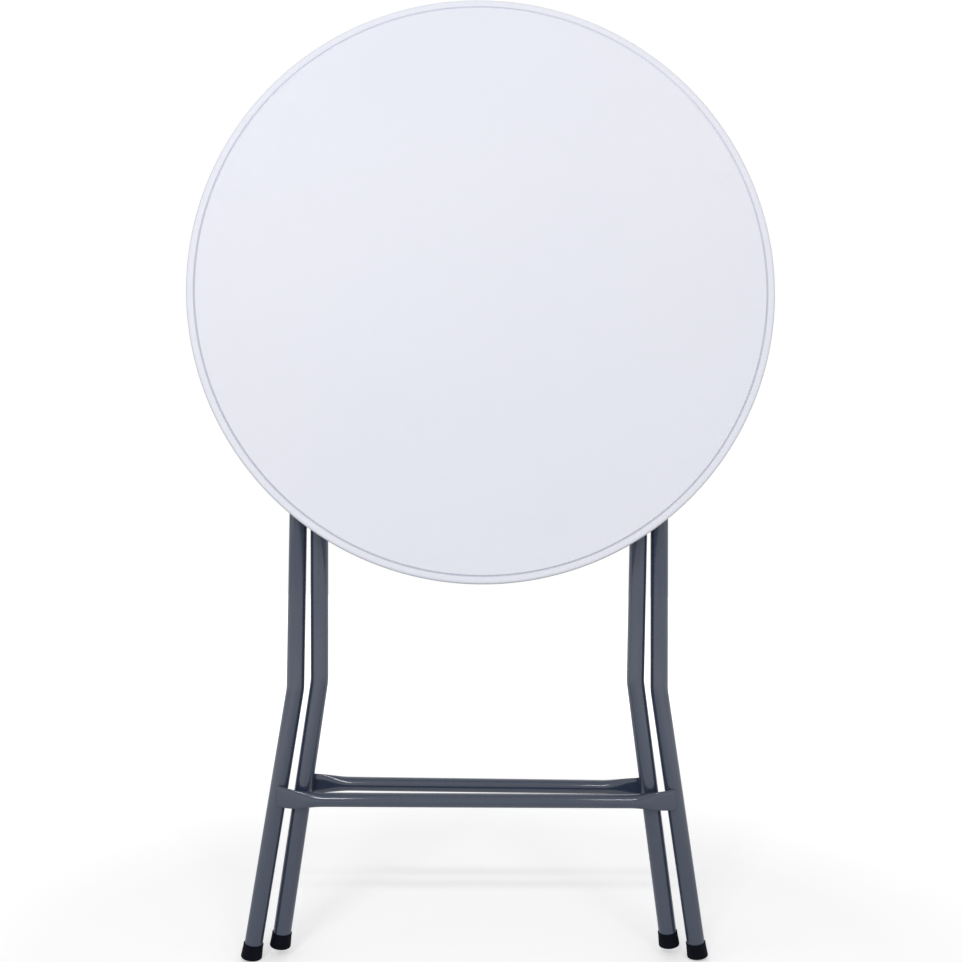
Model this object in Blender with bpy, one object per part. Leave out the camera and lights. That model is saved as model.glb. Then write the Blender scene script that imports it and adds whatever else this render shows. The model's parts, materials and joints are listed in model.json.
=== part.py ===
"""Folding standing table: a round moulded top on two nested tube frames.

It is modelled folded flat and upright. X runs across the table, -Y is the side that the
table's upper face looks to, and +Z is up. All sizes are in metres.
"""

import math

import bmesh
import bpy
from mathutils import Matrix, Vector

# Round top, a twin-wall moulding with a deep hollow rim
TOP_DIAMETER = 0.800
TOP_PANEL = 0.025
TOP_RIM_DEPTH = 0.042
TOP_RIM_WIDTH = 0.022
TOP_RIM_DRAFT = 0.0025
TOP_SKIN = 0.003
TOP_EDGE_RADIUS = 0.005
TOP_REAR_RADIUS = 0.004
GROOVE_INSET = 0.0113
GROOVE_WIDTH = 0.0034
GROOVE_DEPTH = 0.0014
TOP_SIDES = 80
VENT_RADIUS = 0.004

# Tack-offs, where the underside skin is pressed onto the upper one
TACK_PITCH = 0.110
TACK_MOUTH_RADIUS = 0.013
TACK_TIP_RADIUS = 0.008
TACK_TIP_COVER = 0.001
TACK_SIDES = 8
TACK_EDGE_SPACE = 0.012

# Leg frames, each bent from one tube
LEG_DIAMETER = 0.024
LEG_WALL = 0.0012
LEG_SIDES = 16
TUBE_TO_EDGE = 0.1404
OUTER_HALF_WIDTH = 0.2534
OUTER_FLARE = math.radians(8.42)
OUTER_CORNER_RADIUS = 0.085
INNER_DRAW_IN = 0.0034
INNER_FLARE = math.radians(7.72)
INNER_CORNER_RADIUS = 0.055
INNER_TOP_DROP = 0.0266
INNER_FOOT_LIFT = 0.0100
LEG_BEND_HEIGHT = 0.366
LEG_BEND_RADIUS = 0.090
PIVOT_HEIGHT = 0.623
LEAN_IN_USE = math.radians(28.0)

# Crossbars, round tubes crushed flat where they lap onto the legs
BAR_DIAMETER = 0.019
BAR_WALL = 0.0013
BAR_HEIGHT = 0.215
BAR_SLIT = 0.0007
BAR_FLAT_HEIGHT = 0.0262
BAR_FLAT_LENGTH = 0.026
BAR_TAPER_LENGTH = 0.050
BAR_TAPER_STEPS = 4
BAR_SIDES = 16
BAR_STOP_GAP = 0.0006

# Foot caps
CAP_RADIUS = 0.0140
CAP_LENGTH = 0.0215
CAP_FLOOR = 0.0040
CAP_EDGE_RADIUS = 0.0020
CAP_LIP = 0.0008
CAP_SIDES = 16

# Scissor pivot hardware
BOLT_RADIUS = 0.0040
BOLT_HEAD_RADIUS = 0.0095
BOLT_HEAD_HEIGHT = 0.0042
BOLT_THREAD_LENGTH = 0.0085
NUT_FLAT_RADIUS = 0.0065
NUT_HEX_HEIGHT = 0.0065
NUT_HEIGHT = 0.0125
SPACER_RADIUS = 0.0110
SPACER_THICKNESS = 0.0044
HARDWARE_SIDES = 12

# Where the outer frame's top tube sits behind the top's underside
TUBE_STANDOFF = 0.038

# Slide rails, lipped channels on sloping pads of the underside
RAIL_WIDTH = 0.026
RAIL_HEIGHT = 0.0075
RAIL_SHEET = 0.0012
RAIL_SLOT = 0.0112
RAIL_HEAD_LENGTH = 0.040
RAIL_TAIL_LENGTH = 0.028
PAD_MARGIN = 0.003
PAD_STEP = 0.0008

# Slide shoes, which clip round the inner frame's top tube
SHOE_LENGTH = 0.030
SHOE_WIDTH = 0.022
SHOE_WALL = 0.0027
SHOE_OVER_SCREW = 0.0006
SHOE_NECK_LENGTH = 0.018
SHOE_MOUTH = math.radians(105.0)

# Cradles that seat the outer frame's top tube
CRADLE_WIDTH = 0.026
CRADLE_WALL = 0.014
CRADLE_FLANGE = 0.018
CRADLE_FLANGE_HEIGHT = 0.004
CRADLE_LIP = 0.003
CRADLE_SEAT_START = math.radians(-50.0)
CRADLE_SEAT_END = math.radians(-178.0)
CRADLE_LEAD = math.radians(10.0)
CRADLE_RISE = 0.0005
CRADLE_TO_BEND = 0.003
CRADLE_TO_PAD = 0.002

# Keepers, turn buttons on the cradles
KEEPER_LENGTH = 0.036
KEEPER_WIDTH = 0.013
KEEPER_THICKNESS = 0.004

# Catch for the inner frame's top tube when the table stands open
HOOK_PIVOT_BEYOND = 0.0345
HOOK_PIVOT_STANDOFF = 0.020
HOOK_THICKNESS = 0.006
HOOK_BOSS_RADIUS = 0.0090
HOOK_BODY = 0.0070
HOOK_CLEARANCE = 0.0007
HOOK_NOSE_ANGLE = math.radians(8.0)
HOOK_NEAR_ANGLE = math.radians(-150.0)
HOOK_TAIL_ANGLE = math.radians(-125.0)
HOOK_REST_CLEARANCE = 0.001
PIN_RADIUS = 0.003
PIN_HEAD_RADIUS = 0.0050
PIN_HEAD_HEIGHT = 0.0020
BRACKET_SHEET = 0.0020
BRACKET_LENGTH = 0.026
BRACKET_FLANGE = 0.016
EAR_SIDE_GAP = 0.0004
EAR_RIM = 0.0090

# Screws
SCREW_RADIUS = 0.0020
SCREW_HEAD_RADIUS = 0.0042
SCREW_HEAD_HEIGHT = 0.0018
SCREW_LENGTH = 0.0120
SCREW_SIDES = 8

# Clearances
FIT_GAP = 0.0003
RUNNING_GAP = 0.0004
CUT_OVERRUN = 0.002

# Edges sharper than this are shaded as creases
CREASE_ANGLE = math.radians(35.0)

# Derived sizes
TOP_RADIUS = TOP_DIAMETER / 2
LEG_RADIUS = LEG_DIAMETER / 2
BAR_RADIUS = BAR_DIAMETER / 2
BAR_FLAT_THICKNESS = 2 * BAR_WALL + BAR_SLIT
BAR_AXIS_OFFSET = LEG_RADIUS + FIT_GAP + BAR_FLAT_THICKNESS / 2
SEAT_RADIUS = LEG_RADIUS + FIT_GAP
INNER_HALF_WIDTH = OUTER_HALF_WIDTH - LEG_DIAMETER - SPACER_THICKNESS - 2 * FIT_GAP

# Cradles and shoes keep to the straight runs of the two top tubes
CRADLE_OFFSET = OUTER_HALF_WIDTH - OUTER_CORNER_RADIUS - CRADLE_WIDTH / 2 - CRADLE_TO_BEND
SHOE_LIMIT = INNER_HALF_WIDTH - INNER_CORNER_RADIUS - SHOE_WIDTH / 2 - CRADLE_TO_BEND
RAIL_OFFSET = min(SHOE_LIMIT, CRADLE_OFFSET - CRADLE_WIDTH / 2 - CRADLE_TO_PAD - PAD_MARGIN
                  - RAIL_WIDTH / 2)

# The shoes' feet run between the rails' lips and the heads of the screws under them
SHOE_FOOT_HEIGHT = (RAIL_HEIGHT - 2 * RAIL_SHEET - RUNNING_GAP - FIT_GAP - SCREW_HEAD_HEIGHT
                    - SHOE_OVER_SCREW)

# Lengths along the outer frame; the splayed feet stand on the inner edges of their soles
SOLE_DIP = (CAP_RADIUS - CAP_EDGE_RADIUS) * math.sin(OUTER_FLARE)
TOP_CENTRE_DROP = TOP_RADIUS - TUBE_TO_EDGE
OUTER_UPPER = TOP_CENTRE_DROP / math.sin(LEAN_IN_USE)
OUTER_LOWER = PIVOT_HEIGHT - SOLE_DIP

# The inner legs stop against the back of the outer crossbar, so the frames stay a little open
REST_OFFSET = LEG_RADIUS + BAR_STOP_GAP + BAR_RADIUS - BAR_AXIS_OFFSET
REST_ANGLE = math.asin(REST_OFFSET / (OUTER_LOWER - BAR_HEIGHT))
INNER_UPPER = (OUTER_UPPER - INNER_TOP_DROP) / math.cos(REST_ANGLE)
INNER_LOWER = (OUTER_LOWER - INNER_FOOT_LIFT) / math.cos(REST_ANGLE)

# The fold: both pairs of feet reach the floor when the outer frame leans by LEAN_IN_USE
INNER_LEAN = math.acos(OUTER_LOWER * math.cos(LEAN_IN_USE) / INNER_LOWER)
SCISSOR_ANGLE = LEAN_IN_USE + INNER_LEAN - REST_ANGLE
TOP_ANGLE = math.pi / 2 - LEAN_IN_USE


def tube_place(spread, top_angle):
    """Inner top tube's place down and behind the outer one, in the top's own directions."""
    down = OUTER_UPPER * math.cos(top_angle) - INNER_UPPER * math.cos(spread + top_angle)
    behind = OUTER_UPPER * math.sin(top_angle) - INNER_UPPER * math.sin(spread + top_angle)
    return down, behind + TUBE_STANDOFF


SLIDE_START = tube_place(REST_ANGLE, 0)
SLIDE_END = tube_place(REST_ANGLE + SCISSOR_ANGLE, TOP_ANGLE)
SLIDE_SLOPE = (SLIDE_END[1] - SLIDE_START[1]) / (SLIDE_END[0] - SLIDE_START[0])
SLIDE_ANGLE = math.atan(SLIDE_SLOPE)

# The catch's hook pivots beyond the tube and rests lying back, just clear of the underside
HOOK_PIVOT = (SLIDE_END[0] + HOOK_PIVOT_BEYOND, HOOK_PIVOT_STANDOFF)
HOOK_REACH = math.hypot(HOOK_PIVOT_BEYOND, SLIDE_END[1] - HOOK_PIVOT_STANDOFF)
HOOK_POCKET = LEG_RADIUS + HOOK_CLEARANCE
HOOK_BACK = HOOK_POCKET + HOOK_BODY
HOOK_CLOSED_ANGLE = math.atan2(SLIDE_END[1] - HOOK_PIVOT_STANDOFF, -HOOK_PIVOT_BEYOND)
HOOK_OPEN_ANGLE = math.asin((HOOK_BACK + HOOK_REST_CLEARANCE - HOOK_PIVOT_STANDOFF) / HOOK_REACH)
HOOK_SWING = HOOK_CLOSED_ANGLE - HOOK_OPEN_ANGLE

# The part's origin is under the middle of its box, so everything moves forward or back by this
FRONT = -(TUBE_STANDOFF + TOP_PANEL)
BAR_BELOW_PIVOT = INNER_LOWER - BAR_HEIGHT
REAR = (BAR_AXIS_OFFSET * math.cos(REST_ANGLE) + BAR_BELOW_PIVOT * math.sin(REST_ANGLE)
        + BAR_RADIUS)
MIDDLE = (FRONT + REAR) / 2

COLOURS = {
    "moulded_white": ((0.82, 0.84, 0.92), 0.45, 0.0),
    "powder_coat": ((0.095, 0.112, 0.150), 0.42, 0.2),
    "rubber_black": ((0.012, 0.013, 0.020), 0.75, 0.0),
    "nylon_black": ((0.020, 0.020, 0.024), 0.55, 0.0),
    "zinc_steel": ((0.62, 0.63, 0.65), 0.32, 1.0),
}


def clear_scene():
    """Remove whatever the file holds, objects first."""
    for item in list(bpy.data.objects):
        bpy.data.objects.remove(item, do_unlink=True)
    for mesh in list(bpy.data.meshes):
        bpy.data.meshes.remove(mesh)
    for material in list(bpy.data.materials):
        bpy.data.materials.remove(material)


def material(kind):
    """One Principled material for a kind of finish."""
    found = bpy.data.materials.get(kind)
    if found:
        return found
    colour, roughness, metallic = COLOURS[kind]
    made = bpy.data.materials.new(kind)
    made.use_nodes = True
    shader = made.node_tree.nodes["Principled BSDF"]
    shader.inputs["Base Color"].default_value = (*colour, 1.0)
    shader.inputs["Roughness"].default_value = roughness
    shader.inputs["Metallic"].default_value = metallic
    made.diffuse_color = (*colour, 1.0)
    return made


def empty(name, parent=None, location=(0, 0, 0), turn=0):
    """An empty that carries a moving body; turn is about X."""
    made = bpy.data.objects.new(name, None)
    bpy.context.collection.objects.link(made)
    made.parent = parent
    made.location = location
    made.rotation_euler = (turn, 0, 0)
    return made


def finish(name, mesh_data, kind, parent):
    """Turn a bmesh into an object with outward faces and its own material slot."""
    bmesh.ops.recalc_face_normals(mesh_data, faces=mesh_data.faces)
    mesh = bpy.data.meshes.new(name)
    mesh_data.to_mesh(mesh)
    mesh_data.free()
    mesh.shade_smooth()
    mesh.set_sharp_from_angle(angle=CREASE_ANGLE)
    made = bpy.data.objects.new(name, mesh)
    bpy.context.collection.objects.link(made)
    made.parent = parent
    mesh.materials.append(material(kind))
    return made


def make_cutter(name, mesh_data, parent):
    """A helper shape that only boolean modifiers read."""
    made = finish(name, mesh_data, "zinc_steel", parent)
    made.hide_render = True
    made.display_type = "WIRE"
    return made


def boolean(target, cutter, operation):
    """Add an exact boolean modifier."""
    step = target.modifiers.new(operation.lower(), "BOOLEAN")
    step.object = cutter
    step.operation = operation
    step.solver = "EXACT"


def circle_point(centre, radius, angle):
    """A point on a circle in a two-number plane."""
    return (centre[0] + radius * math.cos(angle), centre[1] + radius * math.sin(angle))


def arc(centre, radius, start, end, steps):
    """Points along an arc, both ends included."""
    return [circle_point(centre, radius, start + (end - start) * step / steps)
            for step in range(steps + 1)]


def add_prism(mesh_data, outline, low, high, placing):
    """Extrude a closed outline from low to high along its third direction."""
    ends = []
    for depth in (low, high):
        ends.append([mesh_data.verts.new(placing @ Vector((a, b, depth))) for a, b in outline])
    mesh_data.faces.new(ends[0][::-1])
    mesh_data.faces.new(ends[1])
    count = len(outline)
    for index in range(count):
        after = (index + 1) % count
        mesh_data.faces.new((ends[0][index], ends[0][after], ends[1][after], ends[1][index]))


def add_lathe(mesh_data, profile, sides, placing, hex_points=()):
    """Turn a profile of (radius, height) about the placing's third direction.

    A profile that starts and ends on the axis makes a solid, and any other is closed on
    itself. Points listed in hex_points are drawn out to a hexagon's corners.
    """
    rings = []
    for place, (radius, height) in enumerate(profile):
        if radius == 0:
            rings.append([mesh_data.verts.new(placing @ Vector((0, 0, height)))])
            continue
        ring = []
        for side in range(sides):
            angle = 2 * math.pi * side / sides
            reach = radius
            if place in hex_points and side % 2 == 0:
                reach = radius / math.cos(math.pi / 6)
            ring.append(mesh_data.verts.new(placing @ Vector((
                reach * math.cos(angle), reach * math.sin(angle), height))))
        rings.append(ring)
    pairs = list(zip(rings, rings[1:]))
    if profile[0][0] != 0:
        pairs.append((rings[-1], rings[0]))
    for first, second in pairs:
        for side in range(sides):
            after = (side + 1) % sides
            if len(first) == 1:
                mesh_data.faces.new((first[0], second[side], second[after]))
            elif len(second) == 1:
                mesh_data.faces.new((first[side], second[0], first[after]))
            else:
                mesh_data.faces.new((first[side], second[side], second[after], first[after]))


def add_pipe(mesh_data, outer_rings, inner_rings):
    """Skin a pipe with open ends from matching rings of points."""
    outside = [[mesh_data.verts.new(point) for point in ring] for ring in outer_rings]
    inside = [[mesh_data.verts.new(point) for point in ring] for ring in inner_rings]
    count = len(outside[0])
    for wall in (outside, inside):
        for first, second in zip(wall, wall[1:]):
            for index in range(count):
                after = (index + 1) % count
                mesh_data.faces.new((first[index], first[after], second[after], second[index]))
    for end in (0, -1):
        for index in range(count):
            after = (index + 1) % count
            mesh_data.faces.new((outside[end][index], outside[end][after],
                                 inside[end][after], inside[end][index]))


def place_on(direction, origin=(0, 0, 0)):
    """A placing whose third direction is the one given, with X kept sideways where it can be."""
    along = Vector(direction).normalized()
    side = Vector((1, 0, 0))
    if abs(along.x) > abs(along.z):
        side = Vector((0, 0, 1))
    side = (side - along * side.dot(along)).normalized()
    other = along.cross(side)
    turned = Matrix((side, other, along)).transposed().to_4x4()
    return Matrix.Translation(Vector(origin)) @ turned


def side_placing(origin=(0, 0, 0)):
    """Placing for outlines drawn as (down, behind) and extruded across the table."""
    turned = Matrix(((0, 0, 1), (0, 1, 0), (-1, 0, 0))).to_4x4()
    return Matrix.Translation(Vector(origin)) @ turned


def under_top(across, down, behind):
    """A place on the top's underside, in the top's own axes."""
    return (across, behind, -down)


def leg_path(half_width, draw_in, flare, lower, upper, corner_radius):
    """Centre line of a frame's tube in its own plane, from foot to foot; the pivot is at zero."""
    half_bend = half_width - draw_in
    half_foot = half_bend + LEG_BEND_HEIGHT * math.tan(flare)
    start_lift = CAP_FLOOR + FIT_GAP
    foot = (-half_foot + start_lift * math.sin(flare), -lower + start_lift * math.cos(flare))
    bend_height = -lower + LEG_BEND_HEIGHT
    tangent = LEG_BEND_RADIUS * math.tan(flare / 2)
    bend_centre = (-half_bend - LEG_BEND_RADIUS, bend_height + tangent)
    bend = arc(bend_centre, LEG_BEND_RADIUS, -flare, 0, 3)
    if draw_in:
        bend.append((-half_width, 0))
    corner_centre = (-half_width + corner_radius, upper - corner_radius)
    corner = arc(corner_centre, corner_radius, math.pi, math.pi / 2, 7)
    left = [foot] + bend + corner
    right = [(-across, height) for across, height in reversed(left)]
    return left + right


def pipe_rings(path, radius):
    """Rings round a path in the frame's plane, mitred so that the straight runs stay round."""
    points = [Vector((across, 0, height)) for across, height in path]
    rings = []
    for index, point in enumerate(points):
        before = (point - points[index - 1]).normalized() if index else None
        after = (points[index + 1] - point).normalized() if index + 1 < len(points) else None
        before = before or after
        after = after or before
        tangent = (before + after).normalized()
        side = tangent.cross(Vector((0, 1, 0)))
        stretch = 1 / max(tangent.dot(after), math.cos(math.pi / 4))
        ring = []
        for step in range(LEG_SIDES):
            angle = 2 * math.pi * step / LEG_SIDES
            ring.append(point + side * (radius * stretch * math.cos(angle))
                        + Vector((0, radius * math.sin(angle), 0)))
        rings.append(ring)
    return rings


def make_leg_frame(name, parent, half_width, draw_in, flare, lower, upper, corner_radius):
    """One bent tube with open ends and a bore through each leg at the pivot."""
    path = leg_path(half_width, draw_in, flare, lower, upper, corner_radius)
    tube = bmesh.new()
    add_pipe(tube, pipe_rings(path, LEG_RADIUS), pipe_rings(path, LEG_RADIUS - LEG_WALL))
    frame = finish(name, tube, "powder_coat", parent)
    bores = bmesh.new()
    reach = LEG_RADIUS + CUT_OVERRUN
    bore = BOLT_RADIUS + RUNNING_GAP
    for side in (-1, 1):
        placing = place_on((1, 0, 0), (side * half_width, 0, 0))
        add_lathe(bores, [(0, -reach), (bore, -reach), (bore, reach), (0, reach)],
                  HARDWARE_SIDES, placing)
    boolean(frame, make_cutter(name + "_bores", bores, parent), "DIFFERENCE")
    return frame


def flattened_ring(place, half_depth, half_height, squareness):
    """One section of a crossbar: a circle, or a flat oval where the tube is crushed."""
    ring = []
    for step in range(BAR_SIDES):
        angle = 2 * math.pi * step / BAR_SIDES
        depth = math.copysign(abs(math.cos(angle)) ** squareness, math.cos(angle))
        height = math.copysign(abs(math.sin(angle)) ** squareness, math.sin(angle))
        ring.append(Vector((place[0], place[1] + half_depth * depth,
                            place[2] + half_height * height)))
    return ring


def make_crossbar(name, parent, lower, half_width, flare, facing):
    """A tube between the legs whose ends are crushed flat and lap onto the legs' faces."""
    height = BAR_HEIGHT - lower
    leg_offset = half_width + (LEG_BEND_HEIGHT - BAR_HEIGHT) * math.tan(flare)
    behind = facing * BAR_AXIS_OFFSET
    sections = [(leg_offset, 1.0), (leg_offset - BAR_FLAT_LENGTH, 1.0)]
    for step in range(1, BAR_TAPER_STEPS + 1):
        along = step / BAR_TAPER_STEPS
        blend = (1 + math.cos(math.pi * along)) / 2
        sections.append((leg_offset - BAR_FLAT_LENGTH - BAR_TAPER_LENGTH * along, blend))
    outer_rings = []
    inner_rings = []
    sections = [(-place, flat) for place, flat in sections] + sections[::-1]
    for place, flat in sections:
        depth = BAR_RADIUS + (BAR_FLAT_THICKNESS / 2 - BAR_RADIUS) * flat
        reach = BAR_RADIUS + (BAR_FLAT_HEIGHT / 2 - BAR_RADIUS) * flat
        squareness = 1 - flat / 2
        centre = (place, behind, height)
        outer_rings.append(flattened_ring(centre, depth, reach, squareness))
        inner_rings.append(flattened_ring(centre, depth - BAR_WALL, reach - BAR_WALL, squareness))
    bar = bmesh.new()
    add_pipe(bar, outer_rings, inner_rings)
    return finish(name, bar, "powder_coat", parent)


def make_foot_cap(name, parent, side, half_width, flare, lower):
    """A rubber cup pushed onto the end of a leg."""
    half_foot = half_width + LEG_BEND_HEIGHT * math.tan(flare)
    bore = LEG_RADIUS + FIT_GAP
    edge = CAP_RADIUS - CAP_EDGE_RADIUS
    profile = [(0, 0), (edge, 0)]
    profile += arc((edge, CAP_EDGE_RADIUS), CAP_EDGE_RADIUS, -math.pi / 4, 0, 1)
    profile += [(CAP_RADIUS - CAP_LIP, CAP_LENGTH), (bore, CAP_LENGTH), (bore, CAP_FLOOR),
                (0, CAP_FLOOR)]
    cup = bmesh.new()
    up = (-side * math.sin(flare), 0, math.cos(flare))
    add_lathe(cup, profile, CAP_SIDES, place_on(up, (side * half_foot, 0, -lower)))
    return finish(name, cup, "rubber_black", parent)


def make_pivot(side, word, parent):
    """Carriage bolt, spacer and cap nut that join the frames on one side."""
    outside = OUTER_HALF_WIDTH + LEG_RADIUS + FIT_GAP
    inside = INNER_HALF_WIDTH - LEG_RADIUS - FIT_GAP
    grip = outside - inside
    placing = place_on((-side, 0, 0), (side * outside, 0, 0))
    head = [(BOLT_HEAD_RADIUS * math.cos(turn), -BOLT_HEAD_HEIGHT * math.sin(turn))
            for turn in (math.pi / 3, math.pi / 6, 0)]
    bolt = bmesh.new()
    add_lathe(bolt, [(0, -BOLT_HEAD_HEIGHT)] + head
              + [(BOLT_RADIUS, 0), (BOLT_RADIUS, grip + BOLT_THREAD_LENGTH),
                 (0, grip + BOLT_THREAD_LENGTH)],
              HARDWARE_SIDES, placing)
    finish("pivot_bolt_" + word, bolt, "zinc_steel", parent)

    middle = (OUTER_HALF_WIDTH + INNER_HALF_WIDTH) / 2
    half = SPACER_THICKNESS / 2
    bore = BOLT_RADIUS + FIT_GAP
    spacer = bmesh.new()
    add_lathe(spacer, [(bore, -half), (SPACER_RADIUS, -half), (SPACER_RADIUS, half), (bore, half)],
              HARDWARE_SIDES, place_on((-side, 0, 0), (side * middle, 0, 0)))
    finish("pivot_spacer_" + word, spacer, "nylon_black", parent)

    nut = bmesh.new()
    blind = BOLT_THREAD_LENGTH + FIT_GAP
    crown = NUT_FLAT_RADIUS / 2
    profile = [(bore, 0), (NUT_FLAT_RADIUS, 0), (NUT_FLAT_RADIUS, NUT_HEX_HEIGHT),
               (NUT_FLAT_RADIUS - crown / 4, (NUT_HEX_HEIGHT + NUT_HEIGHT) / 2),
               (crown, NUT_HEIGHT), (0, NUT_HEIGHT)]
    profile = [(0, blind), (bore, blind)] + profile
    add_lathe(nut, profile, HARDWARE_SIDES, place_on((-side, 0, 0), (side * inside, 0, 0)), (3, 4))
    finish("pivot_cap_nut_" + word, nut, "zinc_steel", parent)


def top_outline():
    """Half section of the top's outside as (radius, distance behind its face)."""
    groove = TOP_RADIUS - GROOVE_INSET
    edge = TOP_EDGE_RADIUS
    rear = TOP_REAR_RADIUS
    foot = TOP_RADIUS - TOP_RIM_DRAFT
    wall = TOP_RADIUS - TOP_RIM_WIDTH
    outline = [(0, 0), (groove - GROOVE_WIDTH / 2, 0), (groove, GROOVE_DEPTH),
               (groove + GROOVE_WIDTH / 2, 0)]
    outline += arc((TOP_RADIUS - edge, edge), edge, -math.pi / 2, 0, 4)
    outline += arc((foot - rear, TOP_RIM_DEPTH - rear), rear, 0, math.pi / 2, 2)
    outline += arc((wall + rear, TOP_RIM_DEPTH - rear), rear, math.pi / 2, math.pi, 2)
    outline += [(wall - TOP_RIM_DRAFT, TOP_PANEL + rear),
                (wall - TOP_RIM_DRAFT - rear, TOP_PANEL), (0, TOP_PANEL)]
    return outline


def cavity_outline():
    """Half section of the hollow between the top's two skins."""
    wall = TOP_RADIUS - TOP_RIM_WIDTH
    deep = TOP_RIM_DEPTH - TOP_SKIN
    return [(0, TOP_SKIN), (TOP_RADIUS - TOP_EDGE_RADIUS - TOP_SKIN, TOP_SKIN),
            (TOP_RADIUS - TOP_SKIN - TOP_RIM_DRAFT / 4, TOP_SKIN + TOP_EDGE_RADIUS),
            (TOP_RADIUS - TOP_SKIN - TOP_RIM_DRAFT, deep - TOP_SKIN),
            (TOP_RADIUS - TOP_SKIN - TOP_RIM_DRAFT - TOP_SKIN, deep),
            (wall + TOP_SKIN + TOP_SKIN, deep), (wall + TOP_SKIN, deep - TOP_SKIN),
            (wall + TOP_SKIN - TOP_RIM_DRAFT, TOP_PANEL - TOP_SKIN), (0, TOP_PANEL - TOP_SKIN)]


def pad_height(down):
    """Height of the rails' sloping pads above the underside."""
    return PAD_STEP + SLIDE_SLOPE * (down - SLIDE_START[0] + RAIL_HEAD_LENGTH)


def tack_places():
    """Centres of the tack-offs as (across, down), clear of what is screwed to the underside."""
    places = []
    rows = int(TOP_RADIUS / TACK_PITCH) + 1
    limit = TOP_RADIUS - TOP_RIM_WIDTH - TACK_MOUTH_RADIUS - TACK_EDGE_SPACE
    row_step = TACK_PITCH * math.sin(math.pi / 3)
    lane = RAIL_WIDTH / 2 + PAD_MARGIN + TACK_MOUTH_RADIUS + TOP_SKIN
    for row in range(-rows, rows + 1):
        for column in range(-rows, rows + 1):
            across = (column + (row % 2) / 2) * TACK_PITCH
            rise = row * row_step
            down = TOP_CENTRE_DROP - rise
            in_lane = abs(abs(across) - RAIL_OFFSET) < lane
            past_pads = down < SLIDE_START[0] - RAIL_HEAD_LENGTH - lane
            at_cradle = (abs(abs(across) - CRADLE_OFFSET) < lane
                         and abs(down) < CRADLE_WALL + CRADLE_FLANGE + 2 * lane)
            at_catch = (abs(across) < lane + BRACKET_FLANGE
                        and abs(down - SLIDE_END[0] - HOOK_PIVOT_BEYOND) < lane)
            if math.hypot(across, rise) > limit or at_cradle or at_catch:
                continue
            if in_lane and not past_pads:
                continue
            places.append((across, down))
    return places


def screw_places():
    """Every screw in the top as (across, down, seat height behind the underside, group)."""
    places = []
    rail_ends = (SLIDE_START[0] - RAIL_HEAD_LENGTH + SCREW_HEAD_RADIUS + RAIL_SHEET,
                 (SLIDE_START[0] + SLIDE_END[0]) / 2,
                 SLIDE_END[0] + RAIL_TAIL_LENGTH - SCREW_HEAD_RADIUS - RAIL_SHEET)
    for side in (-1, 1):
        for down in rail_ends:
            places.append((side * RAIL_OFFSET, down, pad_height(down) + FIT_GAP + RAIL_SHEET,
                           "rail"))
        flange_middle = cradle_back() + CRADLE_FLANGE / 2
        for shift in (-CRADLE_WIDTH / 4, CRADLE_WIDTH / 4):
            places.append((side * CRADLE_OFFSET + shift, -flange_middle,
                           FIT_GAP + CRADLE_FLANGE_HEIGHT, "cradle"))
        places.append((side * (ear_outside() + BRACKET_FLANGE / 2),
                       SLIDE_END[0] + HOOK_PIVOT_BEYOND, FIT_GAP + BRACKET_SHEET, "bracket"))
    return places


def cradle_top():
    """Height of the cradle's wall behind the underside."""
    return TUBE_STANDOFF + LEG_RADIUS + CRADLE_RISE


def cradle_lead():
    """How far the cradle's wall leans back at its top."""
    return SEAT_RADIUS + (cradle_top() - TUBE_STANDOFF) * math.tan(CRADLE_LEAD)


def cradle_back():
    """Distance above the tube's centre of the back of the cradle's wall."""
    return cradle_lead() + CRADLE_WALL


def ear_outside():
    """Half width over the catch bracket's two ears."""
    return HOOK_THICKNESS / 2 + EAR_SIDE_GAP + BRACKET_SHEET


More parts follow.
